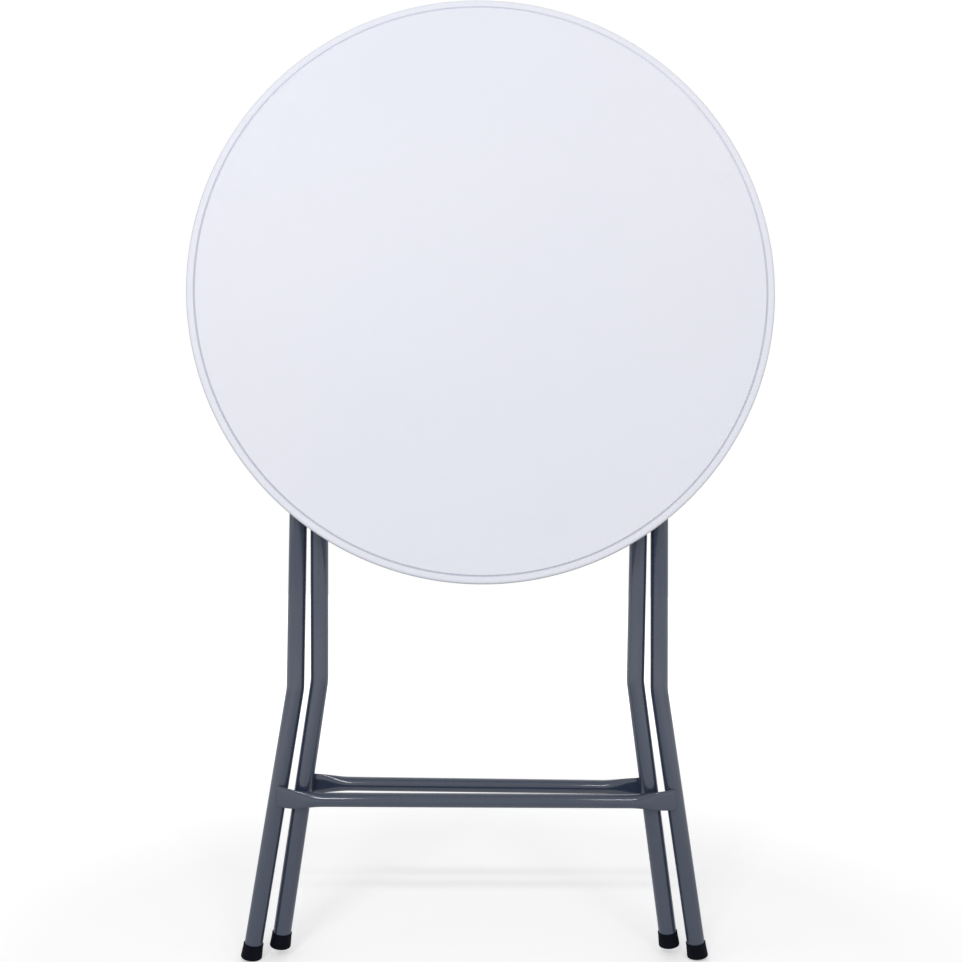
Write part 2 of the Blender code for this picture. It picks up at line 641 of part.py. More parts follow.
def make_tabletop(parent):
    """Twin-wall top with its rim, groove, tack-offs, rail pads, screw holes and vent."""
    face = -TOP_PANEL
    centre = under_top(0, TOP_CENTRE_DROP, face)
    placing = place_on((0, 1, 0), centre)
    shell = bmesh.new()
    add_lathe(shell, top_outline(), TOP_SIDES, placing)
    top = finish("tabletop", shell, "moulded_white", parent)

    pads = bmesh.new()
    start = SLIDE_START[0] - RAIL_HEAD_LENGTH - PAD_MARGIN
    end = SLIDE_END[0] + RAIL_TAIL_LENGTH + PAD_MARGIN
    outline = [(start, -TOP_SKIN / 2), (end, -TOP_SKIN / 2), (end, pad_height(end)),
               (start, pad_height(start))]
    half = RAIL_WIDTH / 2 + PAD_MARGIN
    for side in (-1, 1):
        add_prism(pads, outline, side * RAIL_OFFSET - half, side * RAIL_OFFSET + half,
                  side_placing())
    boolean(top, make_cutter("rail_pads", pads, parent), "UNION")

    hollow = bmesh.new()
    add_lathe(hollow, cavity_outline(), TOP_SIDES // 2, placing)
    cavity = make_cutter("top_cavity", hollow, parent)
    sleeves = bmesh.new()
    recesses = bmesh.new()
    tip = TOP_SKIN + TACK_TIP_COVER
    for across, down in tack_places():
        here = place_on((0, 1, 0), under_top(across, down, face))
        add_lathe(sleeves, [(0, TOP_SKIN / 2), (TACK_TIP_RADIUS + TOP_SKIN, TOP_SKIN / 2),
                            (TACK_MOUTH_RADIUS + TOP_SKIN, TOP_PANEL), (0, TOP_PANEL)],
                  TACK_SIDES, here)
        add_lathe(recesses, [(0, tip), (TACK_TIP_RADIUS, tip),
                             (TACK_MOUTH_RADIUS, TOP_PANEL + CUT_OVERRUN),
                             (0, TOP_PANEL + CUT_OVERRUN)],
                  TACK_SIDES, here)
    boolean(cavity, make_cutter("tack_sleeves", sleeves, parent), "DIFFERENCE")
    boolean(top, cavity, "DIFFERENCE")
    boolean(top, make_cutter("tack_recesses", recesses, parent), "DIFFERENCE")

    holes = bmesh.new()
    for across, down, seat, _group in screw_places():
        here = place_on((0, 1, 0), under_top(across, down, 0))
        hole = SCREW_RADIUS + FIT_GAP
        deep = seat - SCREW_LENGTH - FIT_GAP
        add_lathe(holes, [(0, deep), (hole, deep), (hole, seat), (0, seat)], SCREW_SIDES, here)
    vent = place_on((0, 1, 0), under_top(0, TOP_CENTRE_DROP + TOP_RADIUS
                                         - TOP_RIM_WIDTH - 2 * TACK_EDGE_SPACE, 0))
    add_lathe(holes, [(0, -TOP_SKIN - CUT_OVERRUN), (VENT_RADIUS, -TOP_SKIN - CUT_OVERRUN),
                      (VENT_RADIUS, CUT_OVERRUN), (0, CUT_OVERRUN)], SCREW_SIDES, vent)
    boolean(top, make_cutter("top_holes", holes, parent), "DIFFERENCE")
    return top


def add_screw(mesh_data, across, down, seat):
    """Pan-head screw whose head rests just off its seat."""
    here = place_on((0, 1, 0), under_top(across, down, seat))
    crown = SCREW_HEAD_RADIUS - SCREW_HEAD_HEIGHT / 2
    add_lathe(mesh_data, [(0, FIT_GAP + SCREW_HEAD_HEIGHT), (crown, FIT_GAP + SCREW_HEAD_HEIGHT),
                          (SCREW_HEAD_RADIUS, FIT_GAP), (SCREW_RADIUS, FIT_GAP),
                          (SCREW_RADIUS, -SCREW_LENGTH), (0, -SCREW_LENGTH)],
              SCREW_SIDES, here)


def make_screws(parent):
    """Each screw of the rails, cradles and catch bracket, numbered from the tube downwards."""
    counts = {}
    for across, down, seat, owner in screw_places():
        word = owner + "_screw_" + ("left" if across < 0 else "right")
        counts[word] = counts.get(word, 0) + 1
        screw = bmesh.new()
        add_screw(screw, across, down, seat)
        finish(word + "_" + str(counts[word]), screw, "zinc_steel", parent)


def make_rail(side, word, parent):
    """Lipped steel channel on its sloping pad, open towards the back."""
    half = RAIL_WIDTH / 2
    slot = RAIL_SLOT / 2
    wall = half - RAIL_SHEET
    lip = RAIL_HEIGHT - RAIL_SHEET
    outline = [(-half, 0), (half, 0), (half, RAIL_HEIGHT), (slot, RAIL_HEIGHT), (slot, lip),
               (wall, lip), (wall, RAIL_SHEET), (-wall, RAIL_SHEET), (-wall, lip), (-slot, lip),
               (-slot, RAIL_HEIGHT), (-half, RAIL_HEIGHT)]
    start = SLIDE_START[0] - RAIL_HEAD_LENGTH
    length = (SLIDE_END[0] - start + RAIL_TAIL_LENGTH) / math.cos(SLIDE_ANGLE)
    slope = Matrix.Rotation(SLIDE_ANGLE, 4, "X")
    stand = Matrix(((1, 0, 0), (0, 1, 0), (0, 0, -1))).to_4x4()
    placing = Matrix.Translation(under_top(side * RAIL_OFFSET, start, pad_height(start) + FIT_GAP))
    placing = placing @ slope @ stand
    channel = bmesh.new()
    add_prism(channel, outline, 0, length, placing)
    rail = finish("slide_rail_" + word, channel, "zinc_steel", parent)
    holes = bmesh.new()
    hole = SCREW_RADIUS + FIT_GAP
    for across, down, seat, group in screw_places():
        if group == "rail" and across * side > 0:
            here = place_on((0, 1, 0), under_top(across, down, seat))
            low = -RAIL_SHEET - CUT_OVERRUN
            high = RAIL_SHEET
            add_lathe(holes, [(0, low), (hole, low), (hole, high), (0, high)], SCREW_SIDES, here)
    boolean(rail, make_cutter("rail_holes_" + word, holes, parent), "DIFFERENCE")
    return rail


def make_shoe(side, word, parent):
    """Nylon clip on the inner top tube, with a neck and a foot that run in the rail."""
    base = SLIDE_START[1] - pad_height(SLIDE_START[0]) - FIT_GAP
    base = base * math.cos(SLIDE_ANGLE)
    foot_top = RAIL_HEIGHT - RAIL_SHEET - RUNNING_GAP - base
    foot_low = foot_top - SHOE_FOOT_HEIGHT
    foot_half = RAIL_WIDTH / 2 - RAIL_SHEET - RUNNING_GAP
    neck_half = RAIL_SLOT / 2 - RUNNING_GAP
    clip_radius = SEAT_RADIUS + SHOE_WALL
    neck_top = -SEAT_RADIUS - SHOE_WALL / 2
    slope = Matrix.Rotation(SLIDE_ANGLE, 4, "X") @ side_placing((side * RAIL_OFFSET, 0, 0))
    shoe_body = bmesh.new()
    mouth = SHOE_MOUTH / 2
    ring = arc((0, 0), SEAT_RADIUS, math.pi / 2 + mouth, 2 * math.pi + math.pi / 2 - mouth, 12)
    ring += arc((0, 0), clip_radius, 2 * math.pi + math.pi / 2 - mouth, math.pi / 2 + mouth, 12)
    add_prism(shoe_body, ring, -SHOE_WIDTH / 2, SHOE_WIDTH / 2, slope)
    shoe = finish("slide_shoe_" + word, shoe_body, "nylon_black", parent)

    stem = bmesh.new()
    half = SHOE_NECK_LENGTH / 2
    neck_low = foot_top - SHOE_FOOT_HEIGHT / 2
    add_prism(stem, [(-half, neck_low), (half, neck_low), (half, neck_top), (-half, neck_top)],
              -neck_half, neck_half, slope)
    boolean(shoe, make_cutter("shoe_neck_" + word, stem, parent), "UNION")
    foot = bmesh.new()
    half = SHOE_LENGTH / 2
    add_prism(foot, [(-half, foot_low), (half, foot_low), (half, foot_top), (-half, foot_top)],
              -foot_half, foot_half, slope)
    boolean(shoe, make_cutter("shoe_foot_" + word, foot, parent), "UNION")
    return shoe


def make_cradle(side, word, parent):
    """Moulded seat for the outer top tube, open on the side that the tube leaves by."""
    seat = (0, TUBE_STANDOFF)
    base = FIT_GAP
    lead = cradle_lead()
    back = cradle_back()
    top = cradle_top()
    outline = [(-back - CRADLE_FLANGE, base)]
    low_end = circle_point(seat, SEAT_RADIUS, CRADLE_SEAT_START)
    outline += [(low_end[0] + CRADLE_LIP, base), (low_end[0] + CRADLE_LIP, low_end[1])]
    outline += arc(seat, SEAT_RADIUS, CRADLE_SEAT_START, CRADLE_SEAT_END, 9)
    outline += [(-lead, top), (-back, top), (-back, base + CRADLE_FLANGE_HEIGHT),
                (-back - CRADLE_FLANGE, base + CRADLE_FLANGE_HEIGHT)]
    block = bmesh.new()
    half = CRADLE_WIDTH / 2
    add_prism(block, outline, -half, half, side_placing((side * CRADLE_OFFSET, 0, 0)))
    cradle = finish("tube_cradle_" + word, block, "nylon_black", parent)
    holes = bmesh.new()
    hole = SCREW_RADIUS + FIT_GAP
    for across, down, seat_height, group in screw_places():
        if group == "cradle" and across * side > 0:
            here = place_on((0, 1, 0), under_top(across, down, seat_height))
            low = -CRADLE_FLANGE_HEIGHT - CUT_OVERRUN
            add_lathe(holes, [(0, low), (hole, low), (hole, CUT_OVERRUN), (0, CUT_OVERRUN)],
                      SCREW_SIDES, here)
    here = place_on((0, 1, 0), under_top(side * CRADLE_OFFSET, -keeper_pivot(), top))
    deep = -SCREW_LENGTH - FIT_GAP
    add_lathe(holes, [(0, deep), (hole, deep), (hole, CUT_OVERRUN), (0, CUT_OVERRUN)],
              SCREW_SIDES, here)
    boolean(cradle, make_cutter("cradle_holes_" + word, holes, parent), "DIFFERENCE")
    return cradle


def keeper_pivot():
    """Distance above the tube's centre of the keepers' screws."""
    return cradle_lead() + CRADLE_WALL / 2


def make_keeper(side, word, parent):
    """Turn button on the cradle's wall, modelled turned aside so that the tube can leave."""
    height = cradle_top() + FIT_GAP
    carrier = empty("keeper_axis_" + word, parent,
                    under_top(side * CRADLE_OFFSET, -keeper_pivot(), height))
    half = KEEPER_WIDTH / 2
    far = KEEPER_LENGTH - KEEPER_WIDTH
    outline = arc((0, 0), half, math.pi / 2, 3 * math.pi / 2, 6)
    outline += arc((far, 0), half, -math.pi / 2, math.pi / 2, 6)
    if side > 0:
        outline = [(-across, rise) for across, rise in outline]
    button = bmesh.new()
    flat = place_on((0, 1, 0))
    add_prism(button, outline, 0, KEEPER_THICKNESS, flat)
    keeper = finish("keeper_" + word, button, "zinc_steel", carrier)
    bore = bmesh.new()
    hole = SCREW_RADIUS + RUNNING_GAP
    add_lathe(bore, [(0, -CUT_OVERRUN), (hole, -CUT_OVERRUN),
                     (hole, KEEPER_THICKNESS + CUT_OVERRUN), (0, KEEPER_THICKNESS + CUT_OVERRUN)],
              SCREW_SIDES, flat)
    boolean(keeper, make_cutter("keeper_bore_" + word, bore, carrier), "DIFFERENCE")
    return keeper


def make_keeper_screw(side, word, parent):
    """Shouldered screw that a keeper turns on."""
    seat = cradle_top() + FIT_GAP + KEEPER_THICKNESS
    here = place_on((0, 1, 0), under_top(side * CRADLE_OFFSET, -keeper_pivot(), seat))
    deep = -KEEPER_THICKNESS - FIT_GAP - SCREW_LENGTH
    crown = SCREW_HEAD_RADIUS - SCREW_HEAD_HEIGHT / 2
    screw = bmesh.new()
    add_lathe(screw, [(0, FIT_GAP + SCREW_HEAD_HEIGHT), (crown, FIT_GAP + SCREW_HEAD_HEIGHT),
                      (SCREW_HEAD_RADIUS, FIT_GAP), (SCREW_RADIUS, FIT_GAP),
                      (SCREW_RADIUS, deep), (0, deep)], SCREW_SIDES, here)
    finish("keeper_screw_" + word, screw, "zinc_steel", parent)


def make_catch(parent):
    """Bracket, pin and swinging hook that hold the inner top tube when the table is open."""
    pivot = HOOK_PIVOT
    inner = HOOK_THICKNESS / 2 + EAR_SIDE_GAP
    outer = ear_outside()
    reach = outer + BRACKET_FLANGE
    base = FIT_GAP
    ear_top = HOOK_PIVOT_STANDOFF + EAR_RIM
    outline = [(-reach, base), (reach, base), (reach, base + BRACKET_SHEET),
               (outer, base + BRACKET_SHEET), (outer, ear_top), (inner, ear_top),
               (inner, base + BRACKET_SHEET), (-inner, base + BRACKET_SHEET), (-inner, ear_top),
               (-outer, ear_top), (-outer, base + BRACKET_SHEET), (-reach, base + BRACKET_SHEET)]
    sheet = bmesh.new()
    half = BRACKET_LENGTH / 2
    stand = Matrix(((1, 0, 0), (0, 1, 0), (0, 0, -1))).to_4x4()
    placing = Matrix.Translation(under_top(0, pivot[0], 0)) @ stand
    add_prism(sheet, outline, -half, half, placing)
    bracket = finish("lock_bracket", sheet, "zinc_steel", parent)
    holes = bmesh.new()
    bore = PIN_RADIUS + FIT_GAP
    across_x = place_on((1, 0, 0), under_top(0, *pivot))
    add_lathe(holes, [(0, -reach), (bore, -reach), (bore, reach), (0, reach)],
              HARDWARE_SIDES, across_x)
    hole = SCREW_RADIUS + FIT_GAP
    for across, down, seat, group in screw_places():
        if group == "bracket":
            here = place_on((0, 1, 0), under_top(across, down, seat))
            add_lathe(holes, [(0, -BRACKET_SHEET - CUT_OVERRUN),
                              (hole, -BRACKET_SHEET - CUT_OVERRUN), (hole, CUT_OVERRUN),
                              (0, CUT_OVERRUN)], SCREW_SIDES, here)
    boolean(bracket, make_cutter("bracket_holes", holes, parent), "DIFFERENCE")

    rivet = bmesh.new()
    side = outer + FIT_GAP
    end = side + PIN_HEAD_HEIGHT
    add_lathe(rivet, [(0, -end), (PIN_HEAD_RADIUS, -end), (PIN_HEAD_RADIUS, -side),
                      (PIN_RADIUS, -side), (PIN_RADIUS, side), (PIN_HEAD_RADIUS, side),
                      (PIN_HEAD_RADIUS, end), (0, end)], HARDWARE_SIDES, across_x)
    finish("lock_pin", rivet, "zinc_steel", parent)

    carrier = empty("hook_axis", parent, under_top(0, *pivot))
    tube = (HOOK_REACH, 0)
    outline = arc((0, 0), HOOK_BOSS_RADIUS, math.pi / 2, 3 * math.pi / 2, 8)
    outline += arc(tube, HOOK_BACK, HOOK_TAIL_ANGLE, 0, 9)
    outline += arc((0, 0), HOOK_REACH + HOOK_BACK, HOOK_NOSE_ANGLE / 2, HOOK_NOSE_ANGLE, 1)
    outline += arc((0, 0), HOOK_REACH + HOOK_POCKET, HOOK_NOSE_ANGLE, HOOK_NOSE_ANGLE / 2, 1)
    outline += arc(tube, HOOK_POCKET, 0, HOOK_NEAR_ANGLE, 10)
    plate = bmesh.new()
    turned = Matrix.Rotation(HOOK_OPEN_ANGLE, 4, "Z")
    placing = side_placing() @ turned
    add_prism(plate, outline, -HOOK_THICKNESS / 2, HOOK_THICKNESS / 2, placing)
    hook = finish("lock_hook", plate, "zinc_steel", carrier)
    eye = bmesh.new()
    bore = PIN_RADIUS + RUNNING_GAP
    add_lathe(eye, [(0, -HOOK_THICKNESS), (bore, -HOOK_THICKNESS), (bore, HOOK_THICKNESS),
                    (0, HOOK_THICKNESS)], HARDWARE_SIDES, place_on((1, 0, 0)))
    boolean(hook, make_cutter("hook_eye", eye, carrier), "DIFFERENCE")


def build():
    """Put the whole table together."""
    clear_scene()
    pivot = empty("scissor_pivot", None, (0, -MIDDLE, PIVOT_HEIGHT))
    make_leg_frame("outer_leg_frame", pivot, OUTER_HALF_WIDTH, 0, OUTER_FLARE, OUTER_LOWER,
                   OUTER_UPPER, OUTER_CORNER_RADIUS)
    make_crossbar("outer_crossbar", pivot, OUTER_LOWER, OUTER_HALF_WIDTH, OUTER_FLARE, -1)
    inner = empty("inner_frame_axis", pivot, (0, 0, 0), REST_ANGLE)
    inner_bend = INNER_HALF_WIDTH - INNER_DRAW_IN
    make_leg_frame("inner_leg_frame", inner, INNER_HALF_WIDTH, INNER_DRAW_IN, INNER_FLARE,
                   INNER_LOWER, INNER_UPPER, INNER_CORNER_RADIUS)
    make_crossbar("inner_crossbar", inner, INNER_LOWER, inner_bend, INNER_FLARE, 1)
    top = empty("top_underside", pivot, (0, -TUBE_STANDOFF, OUTER_UPPER))
    tube = empty("inner_tube_axis", top, under_top(0, *SLIDE_START))
    for side, word in ((-1, "left"), (1, "right")):
        make_foot_cap("foot_cap_outer_" + word, pivot, side, OUTER_HALF_WIDTH, OUTER_FLARE,
                      OUTER_LOWER)
        make_foot_cap("foot_cap_inner_" + word, inner, side, inner_bend, INNER_FLARE,
                      INNER_LOWER)
        make_pivot(side, word, pivot)
        make_rail(side, word, top)
        make_shoe(side, word, tube)
        make_cradle(side, word, top)
        make_keeper(side, word, top)
        make_keeper_screw(side, word, top)
    make_tabletop(top)
    make_screws(top)
    make_catch(top)


build()
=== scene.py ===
"""Looks of the folding standing table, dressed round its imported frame.

X runs across the table, -Y is the side that the table's upper face looks to, and +Z is up.
All sizes are in metres. Places come from the frame's boxes and joints.
"""

import json
import math

import bmesh
import bpy
from mathutils import Matrix, Vector


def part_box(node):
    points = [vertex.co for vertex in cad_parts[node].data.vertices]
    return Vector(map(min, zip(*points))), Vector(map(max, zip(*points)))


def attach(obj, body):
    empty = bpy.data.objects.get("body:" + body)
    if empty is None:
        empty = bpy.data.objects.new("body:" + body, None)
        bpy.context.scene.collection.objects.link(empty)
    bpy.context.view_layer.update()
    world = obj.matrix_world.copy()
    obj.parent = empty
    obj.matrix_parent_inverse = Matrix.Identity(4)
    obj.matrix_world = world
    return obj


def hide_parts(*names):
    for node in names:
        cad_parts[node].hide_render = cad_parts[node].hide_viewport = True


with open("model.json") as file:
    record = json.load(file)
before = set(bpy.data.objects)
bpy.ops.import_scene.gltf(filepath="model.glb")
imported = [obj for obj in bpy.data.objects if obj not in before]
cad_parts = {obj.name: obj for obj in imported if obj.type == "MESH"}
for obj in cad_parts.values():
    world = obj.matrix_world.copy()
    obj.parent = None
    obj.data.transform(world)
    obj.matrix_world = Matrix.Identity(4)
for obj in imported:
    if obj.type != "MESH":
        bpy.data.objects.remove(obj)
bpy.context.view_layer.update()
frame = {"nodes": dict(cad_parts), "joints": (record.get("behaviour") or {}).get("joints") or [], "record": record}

# Camera, where the photograph was taken from
CAMERA_PLACE = (-0.0373, -1.40, 0.5977)
CAMERA_YAW = math.radians(-1.564)
CAMERA_PITCH = math.radians(2.428)
CAMERA_ROLL = math.radians(0.505)
FOCAL_PIXELS = 1008.5
IMAGE_PIXELS = 962
SENSOR_WIDTH = 36.0

# Sky: its light from in front and from behind, and the direction's Y where each is reached
AMBIENT_FRONT = 0.66
AMBIENT_BACK = 0.42
AMBIENT_FRONT_Y = -0.75
AMBIENT_BACK_Y = 0.0

# Softboxes that look at one target: name, place, width, height and watts
LAMP_TARGET = (0, 0, 0.6)
LAMPS = (
    ("key_left", (-0.87, -2.6, 2.10), 0.80, 0.12, 21.0),
    ("key_right", (0.90, -2.6, 2.10), 0.60, 0.10, 9.0),
    ("wing_left", (-3.0, -0.9, 1.3), 1.5, 1.5, 5.0),
    ("wing_right", (3.0, -0.9, 1.3), 1.5, 1.5, 2.0),
    ("rear", (0.3, 3.2, 1.8), 1.5, 1.5, 12.0),
)

# Floor; its glow for the camera grows from near the table to far from it
FLOOR_SIZE = 14.0
FLOOR_THICKNESS = 0.02
FLOOR_COLOUR = (0.86, 0.86, 0.87)
FLOOR_SHADE = 0.99
FLOOR_ROUGHNESS = 0.9
FLOOR_SPECULAR = 0.1
FLOOR_LIFT_NEAR = 0.37
FLOOR_LIFT_FAR = 0.90
FLOOR_NEAR = 0.6
FLOOR_FAR = 2.4

# Finishes; shades are shares of the colour, and grain is the depth of the finest bump
MOULDED_COLOUR = (0.835, 0.850, 0.935)
MOULDED_WARM = (0.84335, 0.850, 0.920975)
MOULDED_SHADE = 0.985
MOULDED_SPECULAR = 0.35
FACE_GRAIN = 0.00006
UNDERSIDE_GRAIN = 0.00022
COAT_COLOUR = (0.034, 0.048, 0.083)
COAT_SHADES = (0.95, 1.05)
COAT_FLECK_SHADE = 1.35
COAT_SPECULAR = 0.10
CLEAR_WEIGHT = 0.33
CLEAR_IOR = 2.2
CLEAR_ROUGHNESS = 0.08
RUBBER_COLOUR = (0.0040, 0.0046, 0.0085)
RUBBER_DUST_SHADE = 1.9
RUBBER_SPECULAR = 0.06
NYLON_COLOUR = (0.020, 0.020, 0.024)
NYLON_SHADES = (0.85, 1.2)
ZINC_COOL = (0.50, 0.52, 0.56)
ZINC_WARM = (0.56, 0.555, 0.52)
ZINC_MARK = (0.34, 0.35, 0.36)

# Moulded top
TOP_PANEL = 0.025
TOP_RIM_DEPTH = 0.042
TOP_RIM_WIDTH = 0.022
TOP_RIM_DRAFT = 0.0025
TOP_EDGE_RADIUS = 0.0048
TOP_REAR_RADIUS = 0.004
TOP_SKIN = 0.003
GROOVE_INSET = 0.0113
GROOVE_WIDTH = 0.0036
GROOVE_DEPTH = 0.0024
GROOVE_STEPS = 12
# Painted shade in the groove: the share of the white it keeps, and the height above the top's centre by which it
# has faded out
GROOVE_PAINTED_SHADE = 0.76
GROOVE_SHADE_FADE_HEIGHT = 0.28
# Painted shade along the rim's rounded front edge: the share of the white it keeps, and its width
RIM_PAINTED_SHADE = 0.44
RIM_PAINTED_SHADE_WIDTH = 0.0020
PARTING_RIDGE = 0.00015
PARTING_WIDTH = 0.0008
TOP_EDGE_STEPS = 10
TOP_REAR_STEPS = 6
TOP_SIDES = 240
TUBE_TO_EDGE = 0.1404
PAD_MARGIN = 0.003
PAD_STEP = 0.0008
PAD_SOFTNESS = 0.0009
TACK_MOUTH_RADIUS = 0.013
TACK_TIP_RADIUS = 0.008
TACK_TIP_COVER = 0.001
TACK_TIP_REACH = 2.2 * TACK_TIP_RADIUS
TACK_EDGE_SPACE = 0.012
TACK_SOFTNESS = 0.0018
TACK_MOUTH_END = math.radians(100.0)
TACK_ARC_STEPS = 4
TACK_SIDES = 32
VENT_RADIUS = 0.004
VENT_DEPTH = 0.006

# Leg frames; the tube shown is a little thicker than the solid one that its places follow
LEG_DIAMETER = 0.0245
LEG_SOLID_DIAMETER = 0.024
LEG_SIDES = 48
OUTER_HALF_WIDTH = 0.2534
OUTER_FLARE = math.radians(8.42)
OUTER_CORNER_RADIUS = 0.085
INNER_DRAW_IN = 0.0034
INNER_FLARE = math.radians(7.72)
INNER_CORNER_RADIUS = 0.055
INNER_FOOT_LIFT = 0.010
LEG_BEND_HEIGHT = 0.366
LEG_BEND_RADIUS = 0.090
LEG_BEND_STEPS = 6
CORNER_STEP = math.radians(3.0)

# Crossbars: their flat tips spread, and stop short of the legs' middles by BAR_TIP_BACK.
# A slant lowers the right end, and the rises lift the left end and the right one.
BAR_DIAMETER = 0.019
BAR_FLAT_THICKNESS = 0.0033
BAR_FLAT_HEIGHT = 0.0257
BAR_FLAT_LENGTH = 0.014
BAR_TAPER_LENGTH = 0.050
BAR_TAPER_STEPS = 24
BAR_TIP_LENGTH = 0.004
BAR_TIP_SPREAD = 0.0040
BAR_TIP_BACK = 0.0015
BAR_TIP_SHARE = 0.35
BAR_TIP_STEPS = 6
BAR_SPREAD_LENGTH = 0.028
BAR_RISE_LENGTH = 0.030
BAR_SIDES = 48
OUTER_BAR_HEIGHT = 0.2162
OUTER_BAR_SLANT = math.radians(0.20)
OUTER_END_RISES = (0.0052, 0.0026)
INNER_BAR_HEIGHT = 0.2174
INNER_BAR_SLANT = math.radians(0.62)
INNER_END_RISES = (0.0, 0.0)

# Weld beads at the crossbars' ends
WELD_RADIUS = 0.0012
WELD_RIPPLE_SHARE = 0.10
WELD_RIPPLE_PITCH = 0.0016
WELD_STEPS = 60
WELD_SIDES = 12
WELD_REACH_SHARE = 0.62
WELD_SQUARENESS = 0.5

# Foot caps
CAP_RADIUS = 0.0144
CAP_LENGTH = 0.0195
CAP_EDGE_RADIUS = 0.0020
CAP_FLOOR = 0.0040
CAP_LIP = 0.0008
CAP_LIP_HEIGHT = 0.0016
CAP_EDGE_STEPS = 6
CAP_LIP_STEPS = 4
CAP_SIDES = 48

# Hardware
BOLT_RADIUS = 0.0040
BOLT_HEAD_RADIUS = 0.0095
BOLT_HEAD_HEIGHT = 0.0042
BOLT_DOME_STEPS = 10
NUT_FLAT_RADIUS = 0.0065
NUT_HEX_HEIGHT = 0.0065
NUT_SOFTNESS = 0.0005
NUT_DOME_STEPS = 8
SCREW_RADIUS = 0.0020
SCREW_HEAD_RADIUS = 0.0042
SCREW_HEAD_HEIGHT = 0.0018
SCREW_DOME_STEPS = 8
SCREW_SHANK = 0.010
SCREW_CROSS_LENGTH = 0.0046
SCREW_CROSS_WIDTH = 0.0009
SCREW_CROSS_DEPTH = 0.0011
SCREW_TURN = math.radians(37.0)
HARDWARE_SIDES = 40

# Clearance and mesh work
FIT_GAP = 0.0003
OVERRUN = 0.002
EDGE_SOFTNESS = 0.0005
SHEET_SOFTNESS = 0.0003
BRACKET_SOFTNESS = 0.0004
CRADLE_SOFTNESS = 0.0008
EDGE_SEGMENTS = 2
ROUNDED_SEGMENTS = 3
MERGE_DISTANCE = 0.000001
FLAT_ANGLE = math.radians(0.5)
CREASE_ANGLE = math.radians(35.0)

# Places worked out from the frame
JOINTS = {joint["name"]: joint for joint in frame["joints"]}
BODY_OF = {node: body for body, nodes in frame["record"]["behaviour"]["bodies"].items()
           for node in nodes}
PIVOT = Vector(JOINTS["scissor_pivot"]["pos_m"])
INNER_TUBE = Vector(JOINTS["shoe_turn"]["pos_m"])
SLIDE_AXIS = Vector(JOINTS["top_slide"]["axis"])
TOP_LOW, TOP_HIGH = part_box("tabletop")
TOP_RADIUS = (TOP_HIGH.x - TOP_LOW.x) / 2
TOP_CENTRE = Vector((0, TOP_LOW.y, (TOP_LOW.z + TOP_HIGH.z) / 2))
UNDERSIDE = TOP_LOW.y + TOP_PANEL
LEG_RADIUS = LEG_DIAMETER / 2
BAR_RADIUS = BAR_DIAMETER / 2
OUTER_TUBE_HEIGHT = TOP_HIGH.z - TUBE_TO_EDGE
LEG_SOLID_RADIUS = LEG_SOLID_DIAMETER / 2
BAR_AXIS_OFFSET = LEG_SOLID_RADIUS + FIT_GAP + BAR_FLAT_THICKNESS / 2
OUTER_UPPER = OUTER_TUBE_HEIGHT - PIVOT.z
OUTER_LOWER = PIVOT.z - (CAP_RADIUS - CAP_EDGE_RADIUS) * math.sin(OUTER_FLARE)
INNER_TILT = math.atan2(PIVOT.y - INNER_TUBE.y, INNER_TUBE.z - PIVOT.z)
INNER_UPPER = (INNER_TUBE - PIVOT).length
INNER_LOWER = (OUTER_LOWER - INNER_FOOT_LIFT) / math.cos(INNER_TILT)
INNER_HALF_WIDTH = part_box("pivot_spacer_right")[0].x - FIT_GAP - LEG_SOLID_RADIUS


def new_object(name, mesh_data, *materials):
    """An object from a bmesh, shaded smooth up to its creases."""
    bmesh.ops.recalc_face_normals(mesh_data, faces=mesh_data.faces)
    mesh = bpy.data.meshes.new(name)
    mesh_data.to_mesh(mesh)
    mesh_data.free()
    mesh.shade_smooth()
    mesh.set_sharp_from_angle(angle=CREASE_ANGLE)
    for material in materials:
        mesh.materials.append(material)
    made = bpy.data.objects.new(name, mesh)
    bpy.context.scene.collection.objects.link(made)
    return made


def dress(piece, slot, *nodes):
    """The piece stands for these CAD nodes, which it hides, and rides on their body; slot, the finish's name, is
    not used.
    """
    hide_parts(*nodes)
    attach(piece, BODY_OF[nodes[0]])


def settle(piece):
    """Apply a piece's modifiers to its mesh."""
    view = bpy.context.evaluated_depsgraph_get()
    mesh = bpy.data.meshes.new_from_object(piece.evaluated_get(view))
    piece.modifiers.clear()
    piece.data = mesh


def combine(piece, mesh_data, operation):
    """Cut a bmesh from a piece, or unite the two."""
    tool = new_object("tool", mesh_data)
    step = piece.modifiers.new(operation.lower(), "BOOLEAN")
    step.object = tool
    step.operation = operation
    step.solver = "EXACT"
    settle(piece)
    bpy.data.objects.remove(tool, do_unlink=True)


def even_normals(piece):
    """Keep wide flats flat where they meet narrow rounded edges."""
    piece.data.set_sharp_from_angle(angle=CREASE_ANGLE)
    step = piece.modifiers.new("normals", "WEIGHTED_NORMAL")
    step.keep_sharp = True


def soften_edges(piece, width):
    """Round a piece's sharp edges."""
    step = piece.modifiers.new("edges", "BEVEL")
    step.width = width
    step.segments = EDGE_SEGMENTS
    step.limit_method = "ANGLE"
    step.angle_limit = CREASE_ANGLE


def arc(centre, radius, start, end, steps):
    """Points along an arc, both ends included."""
    return [(centre[0] + radius * math.cos(start + (end - start) * step / steps),
             centre[1] + radius * math.sin(start + (end - start) * step / steps))
            for step in range(steps + 1)]


